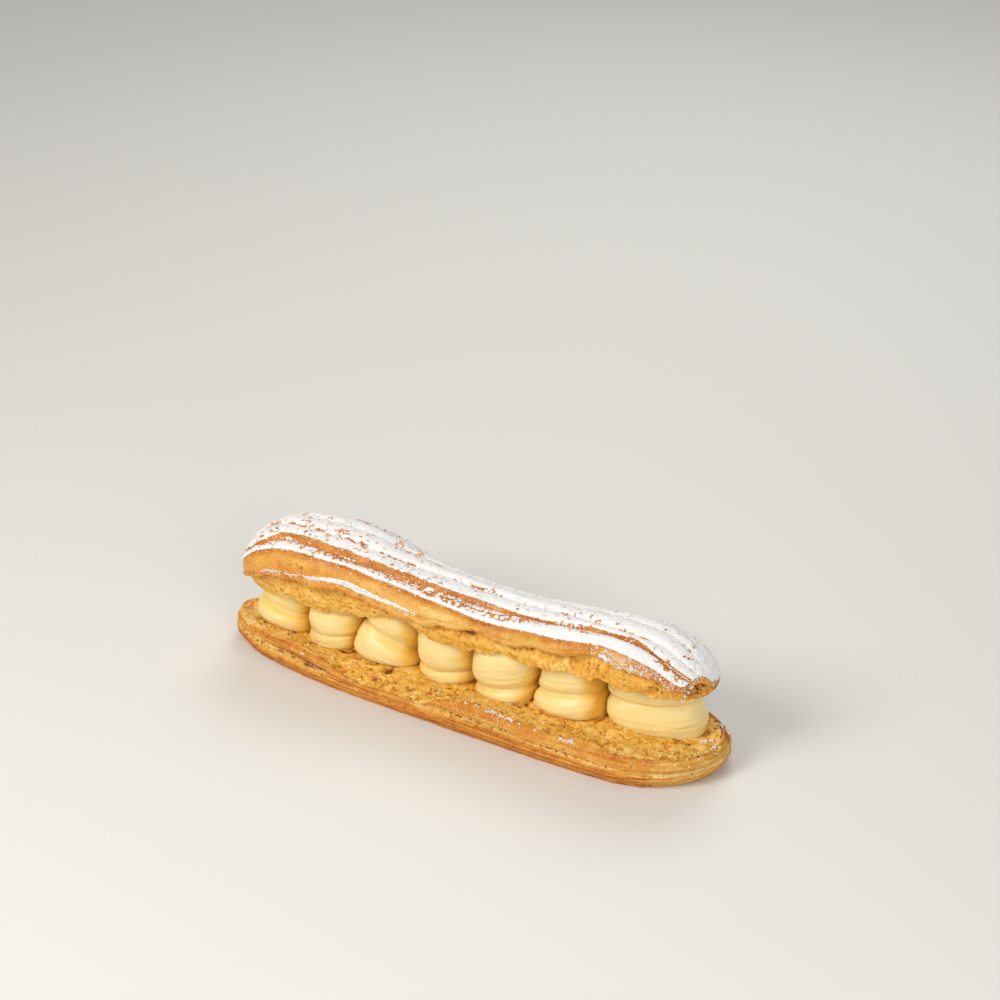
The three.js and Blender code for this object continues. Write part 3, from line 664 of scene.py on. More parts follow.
cream_faces = []
angle = np.linspace(0, 2 * np.pi, ROSETTE_SIDES, endpoint=False)[None, :]
turn_x, turn_y = np.cos(angle), np.sin(angle)
for number, rosette in enumerate(ROSETTES):
    wide, deep = rosette["wide"], rosette["deep"]
    climb = rosette["climb"] * np.cos(angle - np.radians(rosette["from"]))
    foot_x = rosette["x"] + FOOT_REACH * wide * turn_x
    foot_y = rosette["y"] + FOOT_REACH * deep * turn_y - base_centre(foot_x)
    foot = base_top(foot_x, foot_y) - FOOT_SUNK
    seam_there = 1 - rosette["faint"] * (0.5 + 0.5 * np.cos(angle - np.radians(rosette["fades"])))
    top = rosette["coils"][-1][0] + climb
    z = foot + (top - foot) * np.linspace(0, 1, CREAM_ROWS)[:, None]
    up = (z - ROSETTE_FOOT) / CREAM_HEIGHT
    round_it = np.stack([3 * turn_x + 0 * z, 3 * turn_y + 0 * z, z], -1)
    uneven = (0.95 + 0.25 * cloud(round_it, 2.2, 64 + number)) * seam_there
    bulges, seam_shade = 0, 0
    for seam, share in rosette["coils"]:
        seam_z = seam + climb
        middle = foot + FULLEST * (seam_z - foot)
        away = (z - middle) / np.where(z > middle, seam_z - middle, middle - foot)
        bulge = np.minimum(COIL_BULGE * (seam_z - foot), MOST_BULGE) * uneven
        bulges = bulges + np.exp(((share - 1) * wide - bulge * (away ** 2 + away ** 4) / 2) / SEAM_SOFTNESS)
        seam_shade = seam_shade + np.exp(-np.abs(seam_z - z) / SEAM_SHADE_WIDTH)
        foot = seam_z
    offset = SEAM_SOFTNESS * np.log(bulges)
    out_x = (wide + offset) * rounded_turn(turn_x, rosette["square"])
    out_y = (deep + offset) * rounded_turn(turn_y, rosette["square"])
    left, right = (place + lean * up for place, lean in MEETINGS[number:number + 2])
    held_x = pressed(rosette["x"] + rosette["drift"] * up + out_x, left + MEETING_GAP, right - MEETING_GAP)
    turned_away = rosette["recede"] * (held_x - rosette["x"] + TURNS_AWAY_BEFORE) * (0.5 - 0.5 * turn_y)
    rings = np.stack([held_x, rosette["y"] + turned_away + out_y, z], -1)
    # painted shade: deeper yellow at the seams, and beside the neighbours, 5 mm in on the right and 2 mm on
    # the left
    side_shade = smooth(1 - (right - held_x) / 5) + 0.6 * smooth(1 - (held_x - left) / 2)
    shade_and_streaks = np.clip(0.28 * seam_shade * seam_there + 0.62 * side_shade, 0, 1)

    # streaks of the nozzle run along the coils, and each rosette has its own, with a slow swell
    normal = outward(rings)
    along_coils = rings.copy()
    along_coils[..., 2] -= climb
    along_coils[..., 1] += 40 * number
    streaks = clouds(along_coils, [0.15, (8, 8, 1.1), 61], [0.08, (6, 6, 0.5), 62])
    rings = rings + normal * (streaks + 0.5 * cloud(along_coils, (9, 9, 5), 63))[..., None]

    # above and below it sinks into the crumb of the lid and the base
    low = base_top(rings[..., 0], rings[..., 1] - base_centre(rings[..., 0])) - SUNK_IN_CRUMB
    high = lid_underside(rings[..., 0], rings[..., 1]) + SUNK_IN_CRUMB
    # painted shade: deeper yellow within 3.5 mm of the lid above, which shades it
    lid_shade = smooth(1 - (high - rings[..., 2]) / 3.5)
    rings[..., 2] = np.clip(rings[..., 2], low, high)
    cream_fields = {"shade_and_streaks": np.clip(shade_and_streaks + 0.6 * streaks + 0.55 * lid_shade, 0, 1)}
    cream_faces.append((rings + SHIFT, normal))
    middle = rings.mean(axis=1)
    cream = skin(rings, [middle[0], middle[-1]], cream_fields)
    add_piece(f"rosette_{number + 1}", *cream, custard, "custard_cream", [f"cream_{number + 1}"])

# Crumb of the base: the moist, open inside of the bun, torn along the cut. It is a web of
# egg-rich walls round steam bubbles, so its face is all pores and strands, deepest where the
# crust broke away on the near side. It lies inside the crust and the cream is piped on it.
BASE_TOP = 9
CRUMB_SECTIONS = 560
CRUMB_EDGE_POINTS, CRUMB_MIDDLE_POINTS, CRUMB_UNDER_POINTS = 48, 12, 8
CRUMB_TOP_POINTS = 2 * CRUMB_EDGE_POINTS + CRUMB_MIDDLE_POINTS
CRUMB_EDGE_WIDTH = 12
CRUMB_INSET, CRUMB_UNDERSIDE, CRUMB_TIP_HEIGHT = 0.9, 3.9, 7.2
OPEN_CRUMB = [[-83, 0.5], [-60, 0.6], [-48, 1], [-12, 1], [5, 0.75], [40, 0.7], [83, 0.8]]
HOLES = [[-72.7, -8.9, 0.9], [-69, -10, 0.6], [-62, -11, 0.6], [-58.8, -8.4, 0.8], [-55, -8.7, 0.6],
         [-40.2, -7.8, 1.3], [-22.6, -10.6, 1.5], [-33.8, -17.3, 0.9], [-24, -15.6, 0.9], [-10.8, -16.1, 1.0],
         [-1.2, -9.6, 0.8], [20, -7.8, 0.6], [22.6, -5, 0.8], [35.5, -11.1, 1.0], [39, -9.9, 0.8],
         [52.9, -13.7, 1.0], [62.3, -15.4, 0.7], [64, -14.2, 0.6], [78, -7.6, 0.8]]


def torn(points, stretch, salt):
    """Depth in millimetres of torn crumb's open bubbles, and how dark each place in them is: painted
    shade down in the open bubbles, and a painted highlight along the walls between them.
    """
    bent = points + 0.8 * np.stack([cloud(points, 2.6, salt + k) for k in (1, 2, 3)], -1)
    bent = (bent + 0.25 * np.stack([cloud(points, 0.9, salt + k) for k in (4, 5, 6)], -1)) / np.array(stretch)
    depth = -clouds(points, [0.25, 4.5, salt + 7], [0.1, 1.2, salt + 8])
    dark = 0.16 * cloud(points, 3.5, salt + 9)
    for size, deep, share, salt_step in ((2.8, 1.0, 0.2, 10), (1.6, 0.6, 0.5, 20), (1.0, 0.3, 0.85, 30)):
        gap, own = foam(bent, size, salt + salt_step)
        burst = smooth(gap * size / 0.8) * smooth((own - 1 + share) / 0.2)
        depth = depth + deep * burst
        # painted shade in the open bubbles, and a painted highlight along the thin walls between them
        dark = dark + 0.3 * burst - 0.13 * peak(gap * size, 0.22)
    return depth, np.clip(dark, 0, 1)


x = section_places(BASE_LEFT + CRUMB_INSET, BASE_RIGHT - CRUMB_INSET, CRUMB_SECTIONS)
full = base_full(x)
half = BASE_HALF_WIDTH * full
inside_rim = 0.45 / BASE_HALF_WIDTH / np.maximum(full, 0.2)
near_half, far_half = (half * np.maximum(base_side_share(through(rim, x), full) - inside_rim, 0.1)
                       for rim in (NEAR_RIM, FAR_RIM))
wide = near_half + far_half
edge_share = np.minimum(0.4, CRUMB_EDGE_WIDTH / wide)
edge = np.linspace(0, 1, CRUMB_EDGE_POINTS)[None, :]
middle = np.linspace(0, 1, CRUMB_MIDDLE_POINTS + 2)[None, 1:-1]
across = np.concatenate([edge * edge_share, edge_share + (1 - 2 * edge_share) * middle,
                         1 - edge_share + edge * edge_share], axis=1)
y = -near_half + wide * across
place = tucked(x, full, np.abs(y) / half, BASE_TOP)
rim_drop = 0.3 * (1 - smooth(np.minimum(across, 1 - across) * wide / 1.2))
top = np.stack([place, base_centre(x) + y, base_top(place, y) - rim_drop], -1)
below = np.linspace(1, 0, CRUMB_UNDER_POINTS)[None, :]
y = -near_half + wide * below
place = tucked(x, full, np.abs(y) / half, BASE_TOP)
z = CRUMB_UNDERSIDE + (through(BASE_FLOOR, x) - CRUMB_UNDERSIDE) * (1 - full) ** 2 * 0.8 + 0 * below
under = np.stack([place, base_centre(x) + 0.97 * y, z], -1)
rings = np.concatenate([top, under], axis=1)
normal = outward(rings)
depth, dark = torn(rings, (1.2, 1.0, 1.0), 50)
# the holes dip in and are painted dark as shade
for hole_x, hole_y, size in HOLES:
    dip = peak(np.hypot(rings[..., 0] - hole_x, rings[..., 1] - hole_y), size)
    depth, dark = depth + 1.3 * size * dip, dark + 0.7 * dip

# darker in patches along the foot of each rosette, where the crumb lies in its shade
patchy = smooth(0.4 + 1.2 * cloud(rings, 2.5, 66))
for rosette in ROSETTES:
    away = np.hypot((rings[..., 0] - rosette["x"]) / rosette["wide"],
                    (rings[..., 1] - rosette["y"]) / rosette["deep"])
    dark = dark + 0.35 * patchy * peak((away - 1) * rosette["deep"], 0.9)
crumb_shown = np.concatenate([np.ones(CRUMB_TOP_POINTS), np.zeros(CRUMB_UNDER_POINTS)])[None, :]
open_crumb = smooth(through(OPEN_CRUMB, x))
fade = crumb_shown * smooth(2.5 * full) * (0.55 + 0.45 * open_crumb)
base_crumb_face = (rings + SHIFT, normal)
rings = rings - normal * (depth * fade)[..., None]
# the crumb's darkness: painted shade in its bubbles and holes and along the rosettes' feet
crumb_fields = {"hollow": np.clip(0.2 + dark, 0, 1) * crumb_shown, "bubbly": 0.9 * fade}

# Crumb is moist egg and starch, pale yellow on its strands, with the gloss of butter. The deep
# orange down in its pores and holes is painted shade. Light passes a millimetre or two into it.
# Its smallest bubbles are drawn 1.5 mm apart, coarser than the real ones, so that they show.
CRUMB_COLOURS = [(0.0, "#f9de98"), (0.2, "#eebe58"), (0.4, "#e2a336"), (0.6, "#cc842a"), (0.8, "#a9621f"),
                 (1.0, "#6c3410")]
BUBBLE_SPACING = 1.5
torn_crumb = new_material("torn choux crumb, moist and porous")
where = add_node(torn_crumb, "ShaderNodeTexCoord").outputs["Object"]
hollow, bubbly = (add_node(torn_crumb, "ShaderNodeAttribute", attribute_name=name).outputs["Fac"]
                  for name in ("hollow", "bubbly"))
grain = add_node(torn_crumb, "ShaderNodeTexNoise", {"Vector": where, "Scale": 1 / (0.8 * MM), "Detail": 3})
patch = add_node(torn_crumb, "ShaderNodeTexNoise", {"Vector": where, "Scale": 1 / (6 * MM), "Detail": 2})
bent = add_node(torn_crumb, "ShaderNodeVectorMath", {0: grain.outputs["Color"], 1: (0.9 * MM,) * 3, 2: where},
                operation="MULTIPLY_ADD")
walls = add_node(torn_crumb, "ShaderNodeTexVoronoi", {"Vector": bent, "Scale": 1 / (BUBBLE_SPACING * MM)},
                 feature="DISTANCE_TO_EDGE")
cells = add_node(torn_crumb, "ShaderNodeTexVoronoi", {"Vector": bent, "Scale": 1 / (BUBBLE_SPACING * MM)})
in_bubble = add_node(torn_crumb, "ShaderNodeMapRange", {0: walls, 1: 0.04, 2: 0.24})
how_open = add_node(torn_crumb, "ShaderNodeMapRange", {0: cells.outputs["Color"], 1: 0.25, 2: 0.7})
opened = add_node(torn_crumb, "ShaderNodeMath", {0: in_bubble, 1: how_open}, operation="MULTIPLY")
bubble = add_node(torn_crumb, "ShaderNodeMath", {0: opened, 1: bubbly}, operation="MULTIPLY")
grained = add_node(torn_crumb, "ShaderNodeMath", {0: grain, 1: 0.45, 2: hollow}, operation="MULTIPLY_ADD")
patched = add_node(torn_crumb, "ShaderNodeMath", {0: patch, 1: 0.4, 2: grained}, operation="MULTIPLY_ADD")
# painted shade: darker inside each open bubble drawn here
bubbled = add_node(torn_crumb, "ShaderNodeMath", {0: bubble, 1: 0.4, 2: patched}, operation="MULTIPLY_ADD")
crumb_shade = add_node(torn_crumb, "ShaderNodeMath", {0: bubbled, 1: 0.49}, operation="SUBTRACT")
crumb_colour = add_node(torn_crumb, "ShaderNodeValToRGB", {"Fac": crumb_shade}, CRUMB_COLOURS)
crumb_height = add_node(torn_crumb, "ShaderNodeMath", {0: bubble, 1: -1.2, 2: grain},
                        operation="MULTIPLY_ADD")
crumb_bump = add_node(torn_crumb, "ShaderNodeBump",
                      {"Height": crumb_height, "Strength": 0.6, "Distance": 0.25 * MM})
crumb_shader = add_node(torn_crumb, "ShaderNodeBsdfPrincipled", {
    "Base Color": crumb_colour, "Normal": crumb_bump, "Roughness": 0.42, "IOR": 1.42,
    "Subsurface Weight": 0.35, "Subsurface Scale": 1.4 * MM, "Subsurface Radius": (1.0, 0.55, 0.2)})
add_node(torn_crumb, "ShaderNodeOutputMaterial", {"Surface": crumb_shader})
tips = [[edge_x, base_centre(edge_x), CRUMB_TIP_HEIGHT]
        for edge_x in (BASE_LEFT + CRUMB_INSET, BASE_RIGHT - CRUMB_INSET)]
base_crumb = skin(rings, tips, crumb_fields)
add_piece("base_crumb", *base_crumb, torn_crumb, "baked_choux")

# Crumb of the lid: the torn inside of the upper half. It starts behind the crust's lower edge,
# bulges or sinks as it tore, and hangs down to a ragged hem that lies on the cream.
LID_SECTIONS = 520
NEAR_FACE_POINTS, UNDER_POINTS, FAR_FACE_POINTS, INNER_POINTS = 46, 26, 36, 8
TORN_CURVE = 0.7
LID_CRUMB_LIFT, LID_CRUMB_SIZE, LID_CRUMB_SIDEWAYS = 1.1, 7, 0.4
CRUMB_BEHIND_CRUST, DEGREES_BEHIND_EDGE = 1.3, 3
INNER_DEPTH, INNER_DEGREES = 3, 14
LID_CRUMB_INSET = 0.6
FACE_RECESS = [[-79, 0.3], [-60, 0.4], [-35, 0.5], [-22, 0.7], [-10, 1.2], [0, 1.1], [12, 0.8], [22, 1.0],
               [30, 0.8], [38, 1.5], [44, 1.6], [50, 0.9], [60, 0.6], [78, 0.6]]
FACE_BULGE = [[-79, 0], [-65, 0.8], [-50, 1.2], [-38, 1], [-25, 0.6], [-8, 1], [0, 1.4], [16, 1.5], [26, 0.8],
              [40, 0.3], [50, 1], [60, 1.2], [78, 0.3]]
FIBROUS = [[-79, 0], [-20, 0], [0, 0.4], [15, 0.5], [28, 1], [48, 1], [56, 0.3], [78, 0.2]]
OPEN_FACE = [[-79, 1], [-24, 1], [-15, 0.55], [14, 0.55], [24, 1], [79, 1]]
BROWNED = [[-79, 0.4], [-20, 0.6], [-8, 1], [20, 1], [30, 0.2], [46, 0.2], [54, 1], [78, 1]]
LIP_RECESSES, RECESS_WIDTH, RECESS_DEPTH = [-3.5, 0, 7, 27.7, 36.5, 40.5], 1.9, 1.3
LIP_SHADE_REACH = 0.55
x = section_places(LID_LEFT, LID_RIGHT, LID_SECTIONS)
full = lid_full(x)
spring = through(LID_SPRING, x)
hem = through(LID_HEM, x) - spring + ragged_line(x, 0.0, [0.7, 4.2, 71], [0.4, 1.6, 72], [0.2, 0.8, 73])
caves = np.maximum(1 + ragged_line(x, 0.0, [1.3, 5.0, 74]), 0)
faces = []
for side, edge_line, count in ((-1, NEAR_CRUST_EDGE, NEAR_FACE_POINTS), (1, FAR_CRUST_EDGE, FAR_FACE_POINTS)):
    edge = np.radians(through(edge_line, x) + DEGREES_BEHIND_EDGE)
    lip_out = (LID_HALF_WIDTH - CRUMB_BEHIND_CRUST) * np.cos(edge)
    lip_up = (LID_RISE - CRUMB_BEHIND_CRUST) * np.sin(edge)
    t = np.linspace(0, 1, count)[None, :]
    out = lip_out + (LID_HEM_REACH - lip_out) * t ** TORN_CURVE
    out = out - through(FACE_RECESS, x) * caves * np.sin(np.pi * t ** 0.5) ** 2
    out = out + through(FACE_BULGE, x) * np.sin(np.pi * t) ** 2 * t
    faces.append((side * out, lip_up + (hem - lip_up) * t))
t = np.linspace(0, 1, UNDER_POINTS + 2)[None, 1:-1]
under = (-LID_HEM_REACH * (1 - 2 * t) + 0 * x, hem + LID_HOLLOW * np.sin(np.pi * t))
near_top = through(NEAR_CRUST_EDGE, x) + INNER_DEGREES
far_top = 180 - through(FAR_CRUST_EDGE, x) - INNER_DEGREES
inner = np.radians(far_top + (near_top - far_top) * np.linspace(0, 1, INNER_POINTS)[None, :])
over = ((LID_HALF_WIDTH - INNER_DEPTH) * -np.cos(inner), (LID_RISE - INNER_DEPTH) * np.sin(inner))
y, z = (np.concatenate([faces[0][k], under[k], faces[1][k][:, ::-1], over[k]], axis=1) for k in (0, 1))
shown = np.ones((1, y.shape[1]))
shown[:, -INNER_POINTS:] = 0
lump = LID_CRUMB_LIFT * lumps(x / LID_CRUMB_SIZE, (y + z) / LID_CRUMB_SIZE, 3) * shown
y = y + np.sign(y) * lump * LID_CRUMB_SIDEWAYS
z = z + lump
rings = np.stack([x + 0 * y, lid_centre(x) + full * y, spring + full * z], -1)
normal = outward(rings)

# bubbles torn open, fibres pulled out of the face in places, and wrinkles along it elsewhere
depth, dark = torn(rings, (1.0, 1.0, 1.25), 110)
fibres = (1 - np.abs(cloud(rings, (0.8, 2.5, 5.0), 150))) ** 2
fibrous = smooth(through(FIBROUS, x))
wrinkles = cloud(rings, (5.0, 5.0, 0.9), 151)
far_torn = smooth((x - 70) / 4)
depth = (depth * (0.75 - 0.45 * fibrous + 0.9 * far_torn) * through(OPEN_FACE, x)
         - 0.3 * fibres * fibrous - 0.2 * wrinkles * (1 - fibrous))
# painted shade: darker just under the crust's overhanging lip and in the recesses below it, and between the
# pulled fibres
near_lip = smooth(1 - np.linspace(0, 1, NEAR_FACE_POINTS) / LIP_SHADE_REACH)
far_lip = smooth(1 - np.linspace(1, 0, FAR_FACE_POINTS) / LIP_SHADE_REACH)
by_lip = np.concatenate([near_lip, np.full(UNDER_POINTS, 0.3), far_lip, np.ones(INNER_POINTS)])[None, :]
recess = sum(peak(x - place, RECESS_WIDTH) for place in LIP_RECESSES)
dark = (0.2 + 0.1 * through(BROWNED, x) + 0.75 * dark + 0.3 * (0.5 - fibres) * fibrous
        + (0.14 + 0.55 * recess) * by_lip + 0.08 * fibrous + 0.22 * far_torn)
depth = depth + RECESS_DEPTH * recess * by_lip
fade = shown * smooth(2.5 * full)
lid_crumb_face = (rings + SHIFT, normal)
rings = rings - normal * (depth * fade)[..., None]
crumb_fields = {"hollow": np.clip(dark, 0, 1) * shown,
                "bubbly": (0.55 - 0.4 * fibrous + 0.5 * far_torn) * fade}
lid_crumb = skin(rings, lid_tips(LID_CRUMB_INSET), crumb_fields)
add_piece("lid_crumb", *lid_crumb, torn_crumb, "sugared_choux")

# Crust of the lid: the browned top of the bun, piped in broad overlapping ridges. Each ridge
# has a steep near flank that stays bare and brown, and a flatter top that caught the icing
# sugar sieved over it, which lies up to half a millimetre thick.
LEDGE = [[-79, -16], [-74, -4], [-67, 11], [-59, 18], [-53, 17], [-46, 19], [-37.5, 27.5], [-31, 32],
         [-24, 35], [-17, 37.5], [-11, 38], [-5, 41], [3, 43], [14, 45], [21, 43], [34, 41], [50, 46],
         [64, 35], [74, 25], [75.2, 39], [76.2, 53], [77.4, 59], [78.6, 67]]
FIRST_GROOVE = [[-79, 20], [-74, 38], [-68, 51], [-61, 57], [-54, 57], [-45, 54], [-36, 55], [-27, 63],
                [-20, 66], [-14, 69], [-4, 72], [6, 73], [16, 74], [27, 72], [40, 72], [50, 70], [62, 65],
                [70, 55], [78, 42]]
SECOND_GROOVE = [[-79, 60], [-75, 66], [-70, 84], [-59, 81], [-47, 77], [-37, 80], [-21, 90], [-10, 99],
                 [2, 97], [14, 96], [29, 91], [44, 84], [57, 78], [65, 78], [71, 70], [78, 60]]
RIDGE_SPACING, NARROWEST_RIDGE = 22, 2.5
GROOVE_DEPTHS = [1.0, 1.3, 1.6, 1.1, 0.7, 0.6, 0.7, 0.9]
CRESTS = [0.45, 0.62, 0.34, 0.34, 0.45, 0.55, 0.6]
RIDGE_POINTS = [10, 34, 26, 22, 16, 16, 18]
CRUST_THICKNESS, LIP_DROOP = 1.1, 1.2
LIP_STEPS = [0.15, 0.5, 0.85]
CRUST_INNER_POINTS, CRUST_INNER_GAP = 14, 0.9
x = section_places(LID_LEFT, LID_RIGHT, LID_SECTIONS)
full = lid_full(x)
near_ragged, far_ragged = (ragged_line(x, 0.0, [2.2, 4.0, salt], [1.3, 1.4, salt + 1], [0.7, 0.7, salt + 2])
                           for salt in (81, 86))
edges = [through(NEAR_CRUST_EDGE, x) + near_ragged, through(LEDGE, x), through(FIRST_GROOVE, x)]
edges += [through(SECOND_GROOVE, x) + RIDGE_SPACING * k for k in range(4)]
edges.append(180 - through(FAR_CRUST_EDGE, x) + far_ragged)
for k in range(1, len(edges)):
    edges[k] = np.maximum(edges[k], edges[k - 1] + NARROWEST_RIDGE)
widths = [after - before for before, after in zip(edges, edges[1:])]
grooves = [depth + 0 * x for depth in GROOVE_DEPTHS]
for k in range(1, len(widths)):
    grooves[k] = GROOVE_DEPTHS[k] * smooth(np.minimum(widths[k - 1], widths[k]) / 12)
angles, sinks = [], []
for ridge, count in enumerate(RIDGE_POINTS):
    t = np.linspace(0, 1, count, endpoint=False)[None, :]
    crest = CRESTS[ridge]
    rise = np.where(t < crest, grooves[ridge] * (1 - t / crest) ** 2,
                    grooves[ridge + 1] * np.maximum((t - crest) / (1 - crest), 0) ** 2)
    angles.append(edges[ridge] + widths[ridge] * t)
    sinks.append(rise * np.clip(widths[ridge] / 6, 0.25, 1))
near_edge, far_edge = edges[0], edges[-1]
outer_count = sum(RIDGE_POINTS) + 1
angles.append(far_edge)
sinks.append(grooves[-1])
for share in LIP_STEPS:
    angles.append(far_edge + LIP_DROOP * np.sin(np.pi * share))
    sinks.append(grooves[-1] + CRUST_THICKNESS * share)
inner_share = np.linspace(0, 1, CRUST_INNER_POINTS)[None, :]
angles.append(far_edge - 2 + (near_edge + 4 - far_edge) * inner_share)
sinks.append(grooves[0] + CRUST_THICKNESS + CRUST_INNER_GAP + 0 * inner_share)
for share in LIP_STEPS[::-1]:
    angles.append(near_edge - LIP_DROOP * np.sin(np.pi * share))
    sinks.append(grooves[0] + CRUST_THICKNESS * share)
angle = np.concatenate(angles, axis=1)
rings = lid_crust(x, angle, np.concatenate(sinks, axis=1))
normal = outward(rings)
shown = np.ones(angle.shape[1])
shown[outer_count:-len(LIP_STEPS)] = 0

# where the sugar lies: above the first ridge's crest, but not on the steep flanks. Over the
# first ridge it broke into clumps with bare crust between them.
SUGAR_EDGE = [[-79, 4], [-74, 22], [-70, 35], [-60, 44], [-45, 43], [-32, 49], [-19, 56], [-5, 57], [10, 54],
              [23, 54], [37, 52], [51, 53], [57, 50.5], [63, 47], [67, 42.7], [70.5, 36], [74, 30],
              [75.2, 44], [76.2, 62], [77.4, 70], [79, 80]]
FAR_SUGAR_EDGE = [[-79, 150], [-60, 144], [0, 138], [50, 142], [79, 150]]
FIRST_FLANK_FOOT = [[-79, 21], [-73, 40], [-67.2, 50], [-63.4, 57.5], [-59, 61.5], [-53.9, 60], [-48.9, 57.5],
                    [-42.9, 55], [-37.8, 57.5], [-32.5, 59], [-26.4, 65], [-19.6, 69], [-11, 73], [-2, 74],
                    [12, 73], [27, 70.5], [39, 73], [50, 69], [62.5, 63], [70, 50], [74, 41], [79, 40]]
FIRST_FLANK_TOP = [[-79, 26], [-73, 44], [-70, 52], [-66, 59], [-62, 65], [-56, 65.5], [-50.6, 63.5],
                   [-44.5, 61.5], [-39.6, 64], [-34.4, 65], [-28, 70], [-21.8, 73.5], [-15.5, 77], [-2, 78],
                   [12, 78], [27, 74.5], [39.5, 75], [50, 72.5], [62.5, 67.5], [74, 45], [79, 43]]
FIRST_FLANK_BARE = [[-79, 1], [20, 1], [27, 0.9], [33, 0.45], [38, 0.4], [43, 0.9], [79, 1]]
SOLID_STRIPE = [[-79, 5], [-60, 4.5], [-45, 3.5], [-30, 4], [-10, 4], [10, 5], [25, 8], [40, 11], [60, 11],
                [79, 4]]
OPEN_SHARE = [[-79, 0.25], [-66, 0.4], [-50, 0.52], [-40, 0.62], [-30, 0.64], [-20, 0.66], [-5, 0.76],
              [5, 0.72], [14, 0.6], [25, 0.58], [33, 0.4], [40, 0.6], [48, 0.3], [60, 0.25], [66, 0.55],
              [72, 0.5], [79, 0.2]]
THIN_SUGAR = [[-79, 0.36], [-45, 0.32], [-10, 0.28], [20, 0.24], [79, 0.2]]
CLUMP_SIZE = 1.3
SECOND_FLANK_WIDTH, DASH_LINE_START = 2.6, -66
wobble = clouds(rings, [0.9, 3.0, 91], [0.9, 1.1, 92], [0.7, 0.55, 90])
sugar_edge, flank_foot, flank_top = (through(line, x)
                                     for line in (SUGAR_EDGE, FIRST_FLANK_FOOT, FIRST_FLANK_TOP))
cover = smooth((angle + 0.45 * wobble - sugar_edge) / 1.6)
cover = cover * smooth((through(FAR_SUGAR_EDGE, x) - angle + 2 * wobble) / 6)
first_flank = smooth((angle + 0.9 * wobble - flank_foot) / 1.6 + 0.5)
first_flank = first_flank * smooth((flank_top - angle + 0.3 * wobble) / 1.2 + 0.5)
second_flank = smooth((angle + wobble - edges[3] + 1) / 1.6)
second_flank = second_flank * smooth((edges[3] + SECOND_FLANK_WIDTH - angle + wobble) / 1.6)
dashes = smooth((clouds(rings, [0.8, (3.5, 60, 60), 103], [0.6, (1.3, 1.3, 1.3), 104]) - 0.12) / 0.25)
dashes = np.maximum(0.9 * dashes, smooth((DASH_LINE_START - x) / 3))
cover = cover * (1 - first_flank * through(FIRST_FLANK_BARE, x)) * (1 - second_flank * dashes)
broken = np.clip(through(OPEN_SHARE, x) + 0.2 * cloud(rings, 4.0, 108), 0, 1)
broken = broken * smooth((angle - sugar_edge - through(SOLID_STRIPE, x)) / 2 + 0.5)
broken = broken * smooth((flank_top + 1 - angle) / 1.5)
thin = through(THIN_SUGAR, x) * smooth((angle - flank_top) / 3) * (1 + 0.8 * cloud(rings, 5.0, 112))
broken = np.maximum(broken, thin)
fleck = clouds(rings, [0.55, 1.3, 109], [0.6, 0.7, 94])
cover = cover * (1 - smooth((fleck - 0.43) / 0.12) * 0.52)
cover = cover * smooth((normal[..., 2] - 0.1) / 0.3)

# below its edge: a line of sugar on the lower ridge, and dust with a few drifts at the right end.
# A drift is [place along x, angle round the lid, how far it spreads along, how far round]
LEDGE_LINE = [[-79, 0], [-66, 0], [-62, 0.9], [-57, 0.7], [-52, 0.9], [-12, 1], [-8.5, 0], [79, 0]]
LEDGE_WIDTH = [[-79, 0.6], [-60, 0.8], [-52, 0.9], [-47, 1.4], [-40, 2.4], [-30, 2.9], [-24, 2.3], [-16, 1.4],
               [-8, 0.7], [79, 0.6]]
LEDGE_GAPS = [-56, -49.5]
DUSTED = [[-79, 0], [44, 0], [51, 0.75], [64, 0.65], [73, 0.2], [79, 0]]
DRIFTS = [[51.5, 43.5, 1.7, 2.2], [53, 41, 1.2, 1.5], [58.5, 40, 2.0, 1.8], [61.5, 37.5, 1.6, 1.8],
          [64, 36, 1.0, 1.5]]
gaps = sum(peak(x - place, 1.1) for place in LEDGE_GAPS)
ledge_wide = through(LEDGE_WIDTH, x) * (1 - 0.7 * gaps)
on_ledge = through(LEDGE_LINE, x) * smooth(1.6 - np.abs(angle + 0.7 * wobble - edges[1] - 0.3) / ledge_wide)
cover = np.maximum(cover, on_ledge * smooth((fleck + 0.85 - gaps) / 0.3))
dusted = through(DUSTED, x) * smooth((sugar_edge - angle) / 2)
drift = sum(peak(x - place, along) * peak(angle - height, round_it)
            for place, height, along, round_it in DRIFTS)
cover = np.maximum(cover, dusted * smooth((fleck - 0.6 + 0.9 * drift) / 0.2))
dust = 0.75 * dusted * smooth(0.35 + 0.8 * cloud(rings, (4, 4, 1.6), 113) + drift)
cover = cover * (np.arange(angle.shape[1]) < outer_count)

# relief: blisters, wrinkles along the bun and small pits, all filled in where sugar lies
TAN_SHARE = [[-79, 0.42], [-30, 0.4], [-12, 0.28], [30, 0.24], [60, 0.4], [79, 0.45]]
BROWN_TOP = 0.62
blisters = clouds(rings, [0.13, 2.6, 95], [0.06, 1.0, 96])
wrinkles = 0.06 * cloud(np.stack([rings[..., 0], angle, 0 * angle], -1), (9, 2.2, 5), 97)
pits = 0.6 * pores(rings, 1.4, 0.1, 98) * (cover < 0.3)
powder = 0.36 * smooth(cover * 1.4) * (1 + 0.35 * cloud(rings, 1.8, 99))
powder = powder + 0.14 * cover * cloud(rings, 0.62, 100)
relief = (blisters + wrinkles) * (1 - 0.6 * cover) - 0.5 * pits + powder
rings = rings + normal * (relief * shown[None, :] * smooth(2.5 * full))[..., None]
lid_crust_face = (rings + SHIFT, normal)
below_sugar = sugar_edge - angle
tan_share = through(TAN_SHARE, x)
flank = tan_share + (BROWN_TOP - tan_share) * smooth(1 - below_sugar / 9)
flank = flank + 0.1 * smooth((12 - angle + near_edge) / 6)
bake = np.where(below_sugar > 0, flank, BROWN_TOP)
